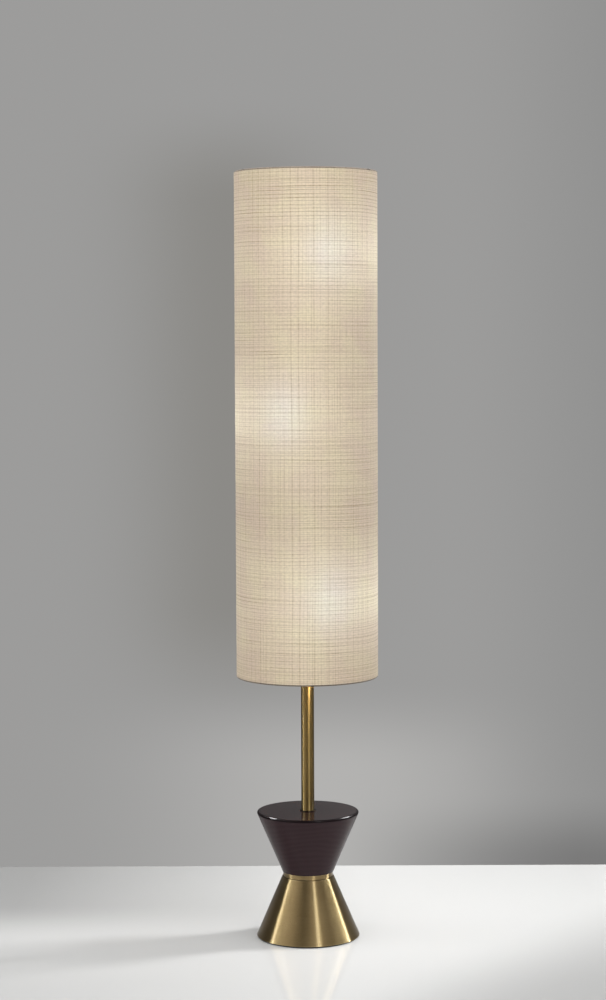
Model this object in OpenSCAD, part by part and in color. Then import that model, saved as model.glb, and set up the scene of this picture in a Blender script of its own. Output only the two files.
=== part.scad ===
// Column floor lamp. A tall fabric drum shade stands over a brass pole, and the base is two
// cones foot to foot: a wooden one above, a weighted brass one below. Inside the shade three
// bulbs stand one above the other on short bent arms, to the right and left in turn.
// Millimetres, +Z up. The origin is on the floor, on the lamp's axis, and +Y is the back.

/* [Overall] */
// Height from the floor to the shade's top edge
total_h = 1486; // [1440:1:1560]

/* [Shade] */
// Outside diameter of the drum shade
shade_d = 275; // [250:1:320]
// Height of the drum shade
shade_h = 974.5; // [950:0.5:1000]
// Thickness of the woven fabric
fabric_t = 0.6; // [0.4:0.1:0.9]
// Thickness of the stiff liner behind the fabric
liner_t = 0.4; // [0.2:0.1:0.6]
// Diameter of the wire of the top and bottom rings
ring_wire_d = 4; // [3:0.5:6]
// Angle that the rolled edge turns round its ring, from the outside face
hem_turn = 230; // [190:5:250]

/* [Spider and finial] */
// Number of spokes that carry the shade
spoke_count = 3; // [3:1:4]
// Diameter of a spoke
spoke_d = 3.2; // [2.5:0.1:5]
// Depth of the spider's underside below the shade's top edge
spider_drop = 31.5; // [30:0.5:45]
// Diameter of the spider's centre washer
spider_washer_d = 28; // [22:1:36]
// Thickness of the spider's centre washer
spider_washer_t = 2; // [1.5:0.5:3]
// Diameter of the hole in the spider's centre washer
spider_hole_d = 11.2; // [8:0.1:12.5]
// Diameter of the threaded stud that holds the spider and the finial
stud_d = 6.35; // [5:0.05:7]
// Diameter of the finial's foot
finial_foot_d = 18; // [15:0.5:22]
// Height of the finial's foot
finial_foot_h = 3; // [2:0.5:4]
// Diameter of the finial's neck
finial_neck_d = 10.5; // [9.5:0.5:13]
// Height of the finial's neck up to its ball
finial_neck_h = 5; // [4:0.5:6]
// Diameter of the finial's ball
finial_ball_d = 17; // [15:0.5:18]
// Solid metal left above the finial's bore
finial_cap_t = 4; // [3:0.5:6]

/* [Base] */
// Diameter of the brass cone at the floor
base_d = 201.2; // [180:0.2:230]
// Diameter of the brass cone at its top
waist_d = 101; // [98:0.5:110]
// Height of the brass cone
shell_h = 116.5; // [100:0.5:140]
// Wall of the brass cone, measured level
shell_t = 1.6; // [1.2:0.1:2.5]
// Thickness of the non-slip pad
pad_t = 2.5; // [2:0.5:4]
// Inset of the pad from the rim of the brass cone
pad_inset = 3; // [3:0.5:8]
// Thickness of the bottom plate
plate_t = 2; // [1.5:0.5:4]
// Height of the cast weight
weight_h = 42; // [38:1:55]
// Depth of the well under the weight for the rod's nut
nut_well_h = 30; // [28:1:32]
// Diameter of that well
nut_well_d = 36; // [32:1:44]
// Width of the slot in the weight for the supply lead
slot_w = 24; // [22:1:30]
// Height of that slot
slot_h = 26; // [24:1:28]
// Radius of the circle of screws that hold the bottom plate
plate_screw_circle_r = 70; // [60:1:80]
// Number of bottom plate screws
plate_screw_count = 3; // [3:3:6]
// Shank diameter of a bottom plate screw
plate_screw_d = 4; // [3:0.5:5]
// Length of a bottom plate screw
plate_screw_len = 14; // [10:1:20]
// Height of the cord gland's axis above the floor
gland_z = 18; // [17:0.5:20]
// Outside diameter of the cord gland
gland_d = 13; // [11:0.5:14]
// Bore of the cord gland
gland_bore = 7; // [6:0.5:8]
// Diameter of the collar at the gland's inner end
gland_collar_d = 17; // [16:0.5:20]
// Thickness of that collar
gland_collar_t = 2; // [1.5:0.5:3]
// How far the gland's mouth stands inside the rim of the brass cone
gland_inset = 1.1; // [0.5:0.1:2]

/* [Waist and wood] */
// Diameter of the brass ring between the cones
waist_ring_d = 97; // [94:0.5:97]
// Height of that ring
waist_ring_h = 9.5; // [6:0.5:14]
// Wall of that ring
waist_ring_t = 3; // [2:0.5:5]
// Thickness of the web across that ring
waist_web_t = 2.5; // [2:0.5:4]
// Diameter of the wooden cone at its foot
wood_foot_d = 99.8; // [97:0.2:104]
// Diameter of the wooden cone at its top, before its edge is rounded
wood_top_d = 201.2; // [180:0.2:220]
// Height of the wooden cone
wood_h = 119; // [100:1:140]
// Radius of the wooden cone's rounded top edge
wood_edge_r = 3; // [1:0.5:6]

/* [Pole and rod] */
// Outside diameter of the pole
pole_d = 25.4; // [24:0.1:30]
// Wall of the pole
pole_t = 1.2; // [1:0.1:2]
// Diameter of the washer under the pole
foot_washer_d = 32; // [28:0.5:38]
// Thickness of that washer
foot_washer_t = 1.5; // [1:0.5:3]
// Height of the plug in the pole's foot
foot_plug_h = 14; // [10:1:20]
// Height of the plug in the pole's top
top_plug_h = 10; // [8:1:16]
// Outside diameter of the hollow threaded rod and of the nipples like it
rod_d = 10; // [9:0.5:11]
// Bore of the hollow rod, the nipples and the arms
rod_bore = 7; // [6.5:0.1:7.5]
// Height of the rod's lower end above the floor
rod_foot_z = 22; // [20:0.5:24]
// Width across flats of the rod's nut
nut_flats = 17; // [15:0.5:19]
// Height of the rod's nut
nut_h = 6; // [5:0.5:8]
// Diameter of the lock washer
lock_washer_d = 18; // [16:0.5:20]
// Thickness of the lock washer
lock_washer_t = 1.6; // [1:0.1:2]
// Diameter of the flat washer
flat_washer_d = 28; // [24:0.5:30]
// Thickness of the flat washer
flat_washer_t = 1.5; // [1:0.5:2]

/* [Cluster] */
// Outside diameter of the tubes between the hubs
riser_d = 12.7; // [12.2:0.1:14]
// Wall of those tubes
riser_t = 1; // [0.8:0.1:1.5]
// How far a tube reaches into a hub
riser_grip = 8; // [6:0.5:10]
// Outside diameter of a hub
hub_d = 32; // [30:0.5:36]
// Height of a hub
hub_h = 34; // [32:0.5:40]
// Wall of a hub round its wiring space
hub_wall = 3; // [2:0.5:4]
// Diameter of a hub's set screw
set_screw_d = 4; // [3:0.5:5]
// Outside diameter of a bent arm
arm_d = 10; // [9.5:0.1:11]
// Radius of an arm's bend, on its centre line
arm_bend_r = 15; // [12:0.5:16]
// Distance from the lamp's axis to a bulb's axis
arm_reach = 42; // [38:0.5:60]
// Straight length of an arm between its bend and the socket's cap
arm_rise = 5; // [3:0.5:12]
// How far an arm reaches into the socket's cap
arm_grip = 6; // [4:0.5:8]
// Diameter of the seat that the spider rests on
seat_d = 38; // [32:1:44]
// Thickness of that seat
seat_t = 3; // [2:0.5:5]
// Length of the seat's spigot inside the top tube
seat_spigot_h = 12; // [8:1:16]

/* [Sockets] */
// Outside diameter of a socket
socket_d = 37; // [36:0.5:42]
// Height of a socket's body below the bulb's tip
socket_below_h = 18; // [16:0.5:24]
// Height of a socket's metal cap
socket_cap_h = 12; // [10:0.5:16]
// Diameter of a socket's metal cap at its foot
socket_foot_d = 18; // [16:0.5:24]
// Wall of a socket's metal cap
socket_cap_t = 1; // [0.8:0.1:1.5]
// Wall of a socket's body round its wiring space
socket_wall = 3; // [2:0.5:4]
// Thickness of the floor inside a socket
socket_floor_t = 6; // [4:0.5:7]
// Depth of that floor below the bulb's tip
socket_floor_drop = 2; // [1.5:0.1:3]
// Wall of the screw shell in a socket
screw_shell_t = 0.4; // [0.3:0.1:0.5]
// Depth of the screw shell's rim below the socket's rim
screw_shell_inset = 2; // [1:0.5:4]
// Diameter of the centre contact's tab
contact_d = 9; // [7:0.5:10]
// Thickness of the centre contact's tab
contact_t = 0.5; // [0.3:0.1:0.8]
// Diameter of the centre contact's post
contact_post_d = 4; // [3:0.5:5]
// Length of that post below the socket's floor
contact_tail = 2; // [1:0.5:4]

/* [Bulbs] */
// Height of the lowest globe's centre above the shade's bottom edge
bulb_low_h = 165; // [155:1:175]
// Height from the lowest globe's centre to the middle one's
bulb_step_low = 348; // [300:1:370]
// Height from the middle globe's centre to the highest one's
bulb_step_high = 306; // [270:1:315]
// Diameter of a bulb's globe
bulb_d = 60; // [55:0.5:64]
// Length of a bulb
bulb_len = 110; // [104:0.5:116]
// Wall of a bulb's globe
bulb_wall = 1.2; // [0.8:0.1:2]
// Diameter of a bulb's screw cap
bulb_cap_d = 26.2; // [25:0.1:27]
// Length of a bulb's screw cap with its tip
bulb_cap_len = 25; // [23:0.5:27]
// Diameter of the contact at a bulb's tip
bulb_tip_d = 8; // [6:0.5:10]
// Length of that contact
bulb_tip_len = 2; // [1.5:0.5:3]
// Length of the insulator between the tip and the cap's thread
bulb_insulator_len = 3; // [2:0.5:4]
// Diameter of a bulb's housing where it meets the cap
bulb_neck_d = 28; // [27.5:0.5:32]
// Drop from the globe's centre to its joint with the housing
bulb_joint_drop = 14; // [10:0.5:18]

/* [Wiring] */
// Diameter of the leads up the lamp's axis
lead_d = 5.2; // [4:0.1:6]
// Diameter of the leads in the arms
arm_lead_d = 4.4; // [3:0.1:6]
// Height of the supply lead's level run above the floor
lead_z = 12; // [11:0.5:13]
// Radius of the supply lead's bend
lead_bend_r = 9; // [8:0.5:10]
// Distance from the axis to the supply lead's splice
splice_y = 30; // [24:1:40]
// Diameter of a splice cap in the base
base_splice_d = 10; // [8:0.5:11]
// Length of a splice cap in the base
base_splice_len = 18; // [14:1:22]
// Diameter of a splice cap in a hub
hub_splice_d = 7; // [5:0.5:8]
// Length of a splice cap in a hub
hub_splice_len = 12; // [8:0.5:14]

/* [Clearances] */
// Radial clearance of pieces that are screwed or pushed together
fit = 0.05; // [0.02:0.01:0.08]
// Radial clearance of the finial on its stud
running = 0.08; // [0.03:0.01:0.1]
// Gap between a bulb's cap and its socket
bulb_gap = 0.3; // [0.2:0.05:0.4]
// Gap between a bulb's housing and the socket's rim
rim_gap = 0.5; // [0.3:0.1:1]
// Gap between a screw shell and the socket's body
shell_gap = 0.2; // [0.1:0.05:0.4]
// Gap between the weight and the brass cone, and round the bottom plate
weight_gap = 0.3; // [0.2:0.05:0.6]
// Gap round a rod or a lead that passes through freely
loose = 0.5; // [0.3:0.1:1]
// Gap between the layers of the shade
layer_gap = 0.05; // [0.03:0.01:0.1]

/* [Hidden] */
$fn = 96;
// Cutters reach this far past the faces they open
past = 1;

levels = ["lower", "middle", "upper"];
// The side that each arm goes to, as a turn about the axis
arm_turn = [0, 180, 0];

// Radii that several pieces share
shade_r = shade_d / 2;
base_r = base_d / 2;
waist_r = waist_d / 2;
pole_r = pole_d / 2;
pole_inner_r = pole_r - pole_t;
rod_r = rod_d / 2;
bore_r = rod_bore / 2;
riser_r = riser_d / 2;
hub_r = hub_d / 2;
arm_r = arm_d / 2;
stud_r = stud_d / 2;
socket_r = socket_d / 2;
bulb_r = bulb_d / 2;
bulb_cap_r = bulb_cap_d / 2;
lead_r = lead_d / 2;
wire_r = ring_wire_d / 2;
plate_screw_r = plate_screw_d / 2;
set_screw_r = set_screw_d / 2;
screw_shell_r = bulb_cap_r + bulb_gap;
screw_shell_outer_r = screw_shell_r + screw_shell_t;

// Heights of the base, from the floor up
shell_foot_z = pad_t;
plate_top_z = pad_t + plate_t;
weight_top_z = plate_top_z + weight_h;
well_top_z = plate_top_z + nut_well_h;
shell_top_z = shell_foot_z + shell_h;
ring_top_z = shell_top_z + waist_ring_h;
wood_top_z = ring_top_z + wood_h;
pole_foot_z = wood_top_z + foot_washer_t;
rod_top_z = pole_foot_z + foot_plug_h;
flat_washer_z = well_top_z - flat_washer_t;
lock_washer_z = flat_washer_z - lock_washer_t;
nut_z = lock_washer_z - nut_h;

// Heights in the shade, from its edges
shade_foot_z = total_h - shade_h;
seat_z = total_h - spider_drop;
globe_z = [shade_foot_z + bulb_low_h,
           shade_foot_z + bulb_low_h + bulb_step_low,
           shade_foot_z + bulb_low_h + bulb_step_low + bulb_step_high];
globe_above_tip = bulb_len - bulb_r;
tip_z = [for (z = globe_z) z - globe_above_tip];
arm_top_above_hub = arm_bend_r + arm_rise;
hub_z = [for (z = tip_z) z - socket_below_h - socket_cap_h - arm_top_above_hub];
pole_top_z = hub_z[0] - hub_h / 2;

// Heights in a socket, from the bulb's tip
socket_above_h = bulb_cap_len - rim_gap;
contact_tail_drop = socket_floor_drop + socket_floor_t + contact_tail;

// The rolled edges turn round the wire rings, and the fabric runs between the rings
edge_r = fabric_t + layer_gap + liner_t + layer_gap + wire_r;
ring_r = shade_r - edge_r;
top_ring_z = total_h - edge_r;
bottom_ring_z = shade_foot_z + edge_r;

// The finial and its stud
finial_ball_z = finial_foot_h + finial_neck_h + finial_ball_d / 2;
finial_h = finial_ball_z + finial_ball_d / 2;
finial_bore_h = finial_h - finial_cap_t;
stud_h = spider_washer_t + finial_bore_h - loose;

// The wiring space in a hub
hub_space_h = hub_h - 2 * riser_grip;
hub_space_r = hub_r - hub_wall;

// Radius of the brass cone's outside at height z
function shell_r(z) = base_r - (base_r - waist_r) * (z - shell_foot_z) / shell_h;
// Radius of its inside at height z
function shell_inner_r(z) = shell_r(z) - shell_t;
// Radius of the weight at height z
function weight_r(z) = shell_inner_r(z) - weight_gap;

// A tube or a washer that stands at height z
module tube(outer_r, inner_r, z, h) {
    translate([0, 0, z]) difference() {
        cylinder(r = outer_r, h = h);
        translate([0, 0, -past]) cylinder(r = inner_r, h = h + 2 * past);
    }
}

// A round bar that runs level from -X, bends up and ends on the Z axis
module elbow(r, bend_r, run, rise) {
    translate([-run, 0, 0]) rotate([0, 90, 0]) cylinder(r = r, h = run - bend_r);
    translate([-bend_r, 0, bend_r]) rotate([90, 0, 0]) rotate([0, 0, -90])
        rotate_extrude(angle = 90) translate([bend_r, 0]) circle(r = r);
    translate([0, 0, bend_r]) cylinder(r = r, h = rise - bend_r);
}

// Places what belongs to a bulb with its tip at the bulb's own place
module at_bulb(i) {
    rotate([0, 0, arm_turn[i]]) translate([arm_reach, 0, tip_z[i]]) children();
}

// Base

module base_pad() {
    color("#1c1a19") cylinder(r = base_r - pad_inset, h = pad_t);
}

// Places what belongs to each screw of the bottom plate, clear of the slot at the back
module at_plate_screws() {
    for (k = [0 : plate_screw_count - 1])
        rotate([0, 0, 270 + k * 360 / plate_screw_count])
            translate([plate_screw_circle_r, 0, pad_t]) children();
}

// A countersunk screw, head down, or with extra its hole
module plate_screw(extra) {
    cylinder(r1 = 2 * plate_screw_r + extra, r2 = plate_screw_r + extra, h = plate_t);
    cylinder(r = plate_screw_r + extra, h = plate_screw_len + extra);
}

module bottom_plate() {
    color("#55565a") difference() {
        translate([0, 0, pad_t]) cylinder(r = weight_r(plate_top_z), h = plate_t);
        at_plate_screws() plate_screw(fit);
    }
}

module plate_screws() {
    color("#8d8d90") at_plate_screws() plate_screw(0);
}

module base_weight() {
    color("#35363a") difference() {
        rotate_extrude() polygon([
            [nut_well_d / 2, plate_top_z],
            [weight_r(plate_top_z), plate_top_z],
            [weight_r(weight_top_z), weight_top_z],
            [rod_r + loose, weight_top_z],
            [rod_r + loose, well_top_z],
            [nut_well_d / 2, well_top_z]
        ]);
        translate([-slot_w / 2, 0, plate_top_z - past]) cube([slot_w, base_r, slot_h + past]);
        at_plate_screws() plate_screw(fit);
    }
}

module base_shell() {
    color("#8d7040") difference() {
        rotate_extrude() polygon([
            [shell_inner_r(shell_foot_z), shell_foot_z],
            [base_r, shell_foot_z],
            [waist_r, shell_top_z],
            [rod_r + loose, shell_top_z],
            [rod_r + loose, shell_top_z - shell_t],
            [shell_inner_r(shell_top_z - shell_t), shell_top_z - shell_t]
        ]);
        translate([0, 0, gland_z]) rotate([-90, 0, 0]) cylinder(r = gland_d / 2 + fit, h = base_r);
    }
}

// The bush that the cord comes in through. Its collar stands against the inside of the cone.
module cord_gland() {
    mouth_y = base_r - gland_inset;
    collar_y = shell_inner_r(gland_z + gland_collar_d / 2) - gland_collar_t;
    color("#7a6238") translate([0, 0, gland_z]) rotate([-90, 0, 0]) {
        tube(gland_d / 2, gland_bore / 2, collar_y, mouth_y - collar_y);
        tube(gland_collar_d / 2, gland_bore / 2, collar_y, gland_collar_t);
    }
}

// Waist, wood and pole

module waist_ring() {
    color("#9a7a45") {
        tube(waist_ring_d / 2, waist_ring_d / 2 - waist_ring_t, shell_top_z, waist_ring_h);
        tube(waist_ring_d / 2, rod_r + loose, shell_top_z, waist_web_t);
    }
}

// The rounded edge is a circle that touches both the flat top and the sloping side.
module wood_cone() {
    foot_r = wood_foot_d / 2;
    spread = wood_top_d / 2 - foot_r;
    slope_length = norm([spread, wood_h]);
    side_out = [wood_h, -spread] / slope_length;
    edge_z = wood_top_z - wood_edge_r;
    edge_centre = [foot_r + spread * (edge_z - ring_top_z) / wood_h
                   - wood_edge_r * slope_length / wood_h, edge_z];
    color("#3d2a20") rotate_extrude() {
        polygon([
            [rod_r + 2 * loose, ring_top_z],
            [foot_r, ring_top_z],
            edge_centre + wood_edge_r * side_out,
            edge_centre,
            [edge_centre[0], wood_top_z],
            [rod_r + 2 * loose, wood_top_z]
        ]);
        translate(edge_centre) circle(r = wood_edge_r);
    }
}

module foot_washer() {
    color("#3a3128") tube(foot_washer_d / 2, rod_r + loose, wood_top_z, foot_washer_t);
}

module tie_rod() {
    color("#a9a9a6") tube(rod_r, bore_r, rod_foot_z, rod_top_z - rod_foot_z);
}

module rod_nut() {
    color("#a9a9a6") translate([0, 0, nut_z]) difference() {
        cylinder(r = nut_flats / sqrt(3), h = nut_h, $fn = 6);
        translate([0, 0, -past]) cylinder(r = rod_r + fit, h = nut_h + 2 * past);
    }
}

module lock_washer() {
    color("#7d7d7b") tube(lock_washer_d / 2, rod_r + loose, lock_washer_z, lock_washer_t);
}

module flat_washer() {
    color("#a9a9a6") tube(flat_washer_d / 2, rod_r + loose, flat_washer_z, flat_washer_t);
}

module pole_foot_plug() {
    color("#a9a9a6") tube(pole_inner_r - fit, rod_r + fit, pole_foot_z, foot_plug_h);
}

module pole() {
    color("#b08d4f") tube(pole_r, pole_inner_r, pole_foot_z, pole_top_z - pole_foot_z);
}

// The plug closes the pole, and its nipple screws into the lowest hub.
module pole_top_plug() {
    color("#a9a9a6") {
        tube(pole_inner_r - fit, bore_r, pole_top_z - top_plug_h, top_plug_h);
        tube(rod_r, bore_r, pole_top_z, riser_grip);
    }
}

// Cluster of hubs, risers and arms

// Height of the middle of a hub's end grip: end is 1 at its top and -1 at its bottom
function grip_z(i, end) = hub_z[i] + end * (hub_h - riser_grip) / 2;

// Each end of a riser tube in a hub, as [hub, end]
riser_ends = [[0, 1], [1, -1], [1, 1], [2, -1], [2, 1]];

// A set screw with its outer face on the hub's side, or with extra its hole
module set_screw(i, end, extra) {
    translate([0, 0, grip_z(i, end)]) rotate([-90, 0, 0])
        translate([0, 0, riser_r + fit]) cylinder(r = set_screw_r + extra, h = hub_r - riser_r - fit);
}

module hub(i) {
    foot_r = i == 0 ? rod_r : riser_r;
    color("#8a6d3e") difference() {
        translate([0, 0, hub_z[i] - hub_h / 2]) cylinder(r = hub_r, h = hub_h);
        translate([0, 0, hub_z[i] - hub_space_h / 2]) cylinder(r = hub_space_r, h = hub_space_h);
        translate([0, 0, hub_z[i]]) cylinder(r = riser_r + fit, h = hub_h / 2 + past);
        translate([0, 0, hub_z[i] - hub_h / 2 - past]) cylinder(r = foot_r + fit, h = hub_h / 2);
        translate([0, 0, hub_z[i]]) rotate([0, 0, arm_turn[i]]) rotate([0, 90, 0])
            cylinder(r = arm_r + fit, h = hub_r + past);
        for (grip = riser_ends) if (grip[0] == i) set_screw(i, grip[1], fit);
    }
}

module hub_set_screws() {
    color("#6d6d6b") for (grip = riser_ends) set_screw(grip[0], grip[1], 0);
}

module riser(i) {
    foot_z = grip_z(i, 1) - riser_grip / 2;
    top_z = i == 2 ? seat_z - seat_t : grip_z(i + 1, -1) + riser_grip / 2;
    color("#8a6d3e") tube(riser_r, riser_r - riser_t, foot_z, top_z - foot_z);
}

// The arm starts at the hub's wiring space and ends in the socket's cap.
module arm(i) {
    run = arm_reach - hub_space_r;
    rise = arm_top_above_hub + arm_grip;
    color("#8a6d3e") rotate([0, 0, arm_turn[i]]) translate([arm_reach, 0, hub_z[i]])
        difference() {
            elbow(arm_r, arm_bend_r, run, rise);
            elbow(bore_r, arm_bend_r, run + past, rise + past);
        }
}

module shade_seat() {
    color("#8a6d3e") {
        translate([0, 0, seat_z - seat_t]) cylinder(r = seat_d / 2, h = seat_t);
        translate([0, 0, seat_z - seat_t - seat_spigot_h])
            cylinder(r = riser_r - riser_t - fit, h = seat_spigot_h);
        translate([0, 0, seat_z]) cylinder(r = stud_r, h = stud_h);
    }
}

// Sockets

module socket_cap(i) {
    foot_r = socket_foot_d / 2;
    color("#a08a55") at_bulb(i) translate([0, 0, -socket_below_h - socket_cap_h]) difference() {
        cylinder(r1 = foot_r, r2 = socket_r, h = socket_cap_h);
        translate([0, 0, socket_cap_t])
            cylinder(r1 = foot_r - socket_cap_t, r2 = socket_r - socket_cap_t,
                     h = socket_cap_h - socket_cap_t);
        translate([0, 0, -past]) cylinder(r = arm_r + fit, h = socket_cap_h);
    }
}

module socket_body(i) {
    floor_z = -socket_floor_drop;
    space_h = socket_below_h - socket_floor_drop - socket_floor_t;
    color("#191817") at_bulb(i) difference() {
        translate([0, 0, -socket_below_h]) cylinder(r = socket_r, h = socket_below_h + socket_above_h);
        translate([0, 0, floor_z])
            cylinder(r = screw_shell_outer_r + shell_gap, h = socket_above_h - floor_z + past);
        translate([0, 0, -socket_below_h - past]) cylinder(r = socket_r - socket_wall, h = space_h + past);
        translate([0, 0, floor_z - socket_floor_t - past])
            cylinder(r = contact_post_d / 2 + fit, h = socket_floor_t + 2 * past);
    }
}

module screw_shells() {
    color("#b8a77a") for (i = [0 : 2]) at_bulb(i)
        tube(screw_shell_outer_r, screw_shell_r, -socket_floor_drop,
             socket_above_h + socket_floor_drop - screw_shell_inset);
}

// The post passes through the socket's floor and carries the tab under the bulb's tip.
module centre_contacts() {
    tab_z = -bulb_gap - contact_t;
    color("#b8a77a") for (i = [0 : 2]) at_bulb(i) {
        translate([0, 0, tab_z]) cylinder(r = contact_d / 2, h = contact_t);
        translate([0, 0, -contact_tail_drop])
            cylinder(r = contact_post_d / 2, h = contact_tail_drop + tab_z);
    }
}

// Bulbs

module bulb_cap(i) {
    tip_r = bulb_tip_d / 2;
    thread_z = bulb_tip_len + bulb_insulator_len;
    color("#b9b9b6") at_bulb(i) {
        cylinder(r = tip_r, h = bulb_tip_len);
        translate([0, 0, bulb_tip_len]) cylinder(r1 = tip_r, r2 = bulb_cap_r, h = bulb_insulator_len);
        translate([0, 0, thread_z]) cylinder(r = bulb_cap_r, h = bulb_cap_len - thread_z);
    }
}

// The housing flares from the cap to the globe.
module bulb_housing(i) {
    foot_r = bulb_neck_d / 2;
    top_r = sqrt(bulb_r * bulb_r - bulb_joint_drop * bulb_joint_drop);
    top_z = globe_above_tip - bulb_joint_drop;
    steps = 8;
    flare = 1.4;
    color("#e8e6e0") at_bulb(i) rotate_extrude() polygon(concat(
        [[0, bulb_cap_len]],
        [for (k = [0 : steps]) [foot_r + (top_r - foot_r) * pow(k / steps, flare),
                                bulb_cap_len + (top_z - bulb_cap_len) * k / steps]],
        [[0, top_z]]
    ));
}

module bulb_globe(i) {
    joint_z = globe_above_tip - bulb_joint_drop;
    color("#fff4dc") at_bulb(i) rotate_extrude() difference() {
        translate([0, globe_above_tip]) circle(r = bulb_r);
        translate([0, globe_above_tip]) circle(r = bulb_r - bulb_wall);
        translate([-bulb_d, joint_z - bulb_d]) square([2 * bulb_d, bulb_d]);
        translate([-bulb_d, joint_z - bulb_d]) square([bulb_d, 3 * bulb_d]);
    }
}

// Wiring

// The supply lead comes from its splice at the back, turns up and runs to the lowest hub.
module supply_lead() {
    color("#c9bfa6") translate([0, 0, lead_z]) rotate([0, 0, -90])
        elbow(lead_r, lead_bend_r, splice_y, hub_z[0] - lead_z);
}

module riser_leads() {
    color("#c9bfa6") for (i = [0, 1])
        translate([0, 0, hub_z[i]]) cylinder(r = lead_r, h = hub_z[i + 1] - hub_z[i]);
}

// An arm's lead runs from the splice on the axis to the centre contact's post.
module arm_leads() {
    rise = arm_top_above_hub + socket_cap_h + socket_below_h - contact_tail_drop;
    color("#c9bfa6") for (i = [0 : 2])
        rotate([0, 0, arm_turn[i]]) translate([arm_reach, 0, hub_z[i]])
            elbow(arm_lead_d / 2, arm_bend_r, arm_reach - lead_r - fit, rise);
}

module base_splice_caps() {
    cap_x = (base_splice_d + loose) / 2;
    color("#b3622b") for (side = [-1, 1])
        translate([side * cap_x, splice_y, lead_z]) rotate([-90, 0, 0])
            cylinder(d = base_splice_d, h = base_splice_len);
}

module hub_splice_caps() {
    cap_y = lead_r + loose / 2 + hub_splice_d / 2;
    color("#b3622b") for (i = [0 : 2]) for (side = [-1, 1])
        translate([0, side * cap_y, hub_z[i] - hub_space_h / 2])
            cylinder(d = hub_splice_d, h = hub_splice_len);
}

// Shade

module shade_fabric() {
    color("#d8c4a0") tube(shade_r, shade_r - fabric_t, bottom_ring_z, top_ring_z - bottom_ring_z);
}

module shade_liner() {
    liner_r = shade_r - fabric_t - layer_gap;
    color("#efe6d2") tube(liner_r, liner_r - liner_t, bottom_ring_z, top_ring_z - bottom_ring_z);
}

// Places one spoke of the spider along +X, and then the others
module at_spokes() {
    for (k = [0 : spoke_count - 1]) rotate([0, 0, 90 + k * 360 / spoke_count]) children();
}

// The fabric's edge in section, rolled round the ring from the outside face over the top
module rolled_edge() {
    reach = 3 * edge_r;
    translate([ring_r, 0]) difference() {
        circle(r = edge_r);
        circle(r = edge_r - fabric_t);
        polygon([[0, 0], for (turn = [hem_turn, hem_turn + 45, 315, 360]) reach * [cos(turn), sin(turn)]]);
    }
}

// The top edge is notched where the spokes reach the ring.
module hem_top() {
    notch_w = spoke_d + 4 * loose;
    color("#b9a27a") difference() {
        translate([0, 0, top_ring_z]) rotate_extrude() rolled_edge();
        at_spokes() translate([0, -notch_w / 2, top_ring_z - 2 * edge_r])
            cube([ring_r, notch_w, 4 * edge_r]);
    }
}

module hem_bottom() {
    color("#b9a27a") translate([0, 0, bottom_ring_z]) mirror([0, 0, 1]) rotate_extrude() rolled_edge();
}

module wire_ring(z) {
    color("#c8c8c4") translate([0, 0, z]) rotate_extrude() translate([ring_r, 0]) circle(r = wire_r);
}

// The spokes rise from the washer to the inside of the top ring.
module spider() {
    start = [spider_washer_d / 4, seat_z + spider_washer_t / 2];
    run = ring_r - wire_r - layer_gap - start[0];
    rise = top_ring_z - start[1];
    color("#c8c8c4") difference() {
        union() {
            translate([0, 0, seat_z]) cylinder(d = spider_washer_d, h = spider_washer_t);
            at_spokes() translate([start[0], 0, start[1]]) rotate([0, atan2(run, rise), 0])
                cylinder(d = spoke_d, h = norm([run, rise]));
        }
        translate([0, 0, seat_z - 2 * spoke_d]) cylinder(d = spider_hole_d, h = 8 * spoke_d);
        translate([0, 0, seat_z - 2 * spoke_d]) cylinder(d = spider_washer_d + past, h = 2 * spoke_d);
        translate([0, 0, seat_z + spider_washer_t]) cylinder(d = finial_foot_d + 2 * loose, h = spoke_d);
    }
}

module finial() {
    color("#b08d4f") translate([0, 0, seat_z + spider_washer_t]) difference() {
        union() {
            cylinder(d = finial_foot_d, h = finial_foot_h);
            cylinder(d = finial_neck_d, h = finial_ball_z);
            translate([0, 0, finial_ball_z]) sphere(d = finial_ball_d);
        }
        translate([0, 0, -past]) cylinder(r = stud_r + running, h = finial_bore_h + past);
    }
}

base_pad();
bottom_plate();
plate_screws();
base_weight();
base_shell();
cord_gland();
waist_ring();
wood_cone();
foot_washer();
tie_rod();
rod_nut();
lock_washer();
flat_washer();
pole_foot_plug();
pole();
pole_top_plug();
hub_set_screws();
shade_seat();
screw_shells();
centre_contacts();
supply_lead();
riser_leads();
arm_leads();
base_splice_caps();
hub_splice_caps();
shade_fabric();
shade_liner();
hem_top();
hem_bottom();
wire_ring(top_ring_z);  // top_ring
wire_ring(bottom_ring_z);  // bottom_ring
spider();
finial();
for (i = [0 : 2]) {
    hub(i);
    arm(i);
    riser(i);
    socket_cap(i);
    socket_body(i);
    bulb_cap(i);
    bulb_housing(i);
    bulb_globe(i);
}
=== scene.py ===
# Column floor lamp: looks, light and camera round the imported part.
# Metres, floor at z 0, the lamp's axis on z and its back at +y. The sizes of pieces are in millimetres.
import math
import bmesh
import bpy
from mathutils import Matrix, Vector


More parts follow.
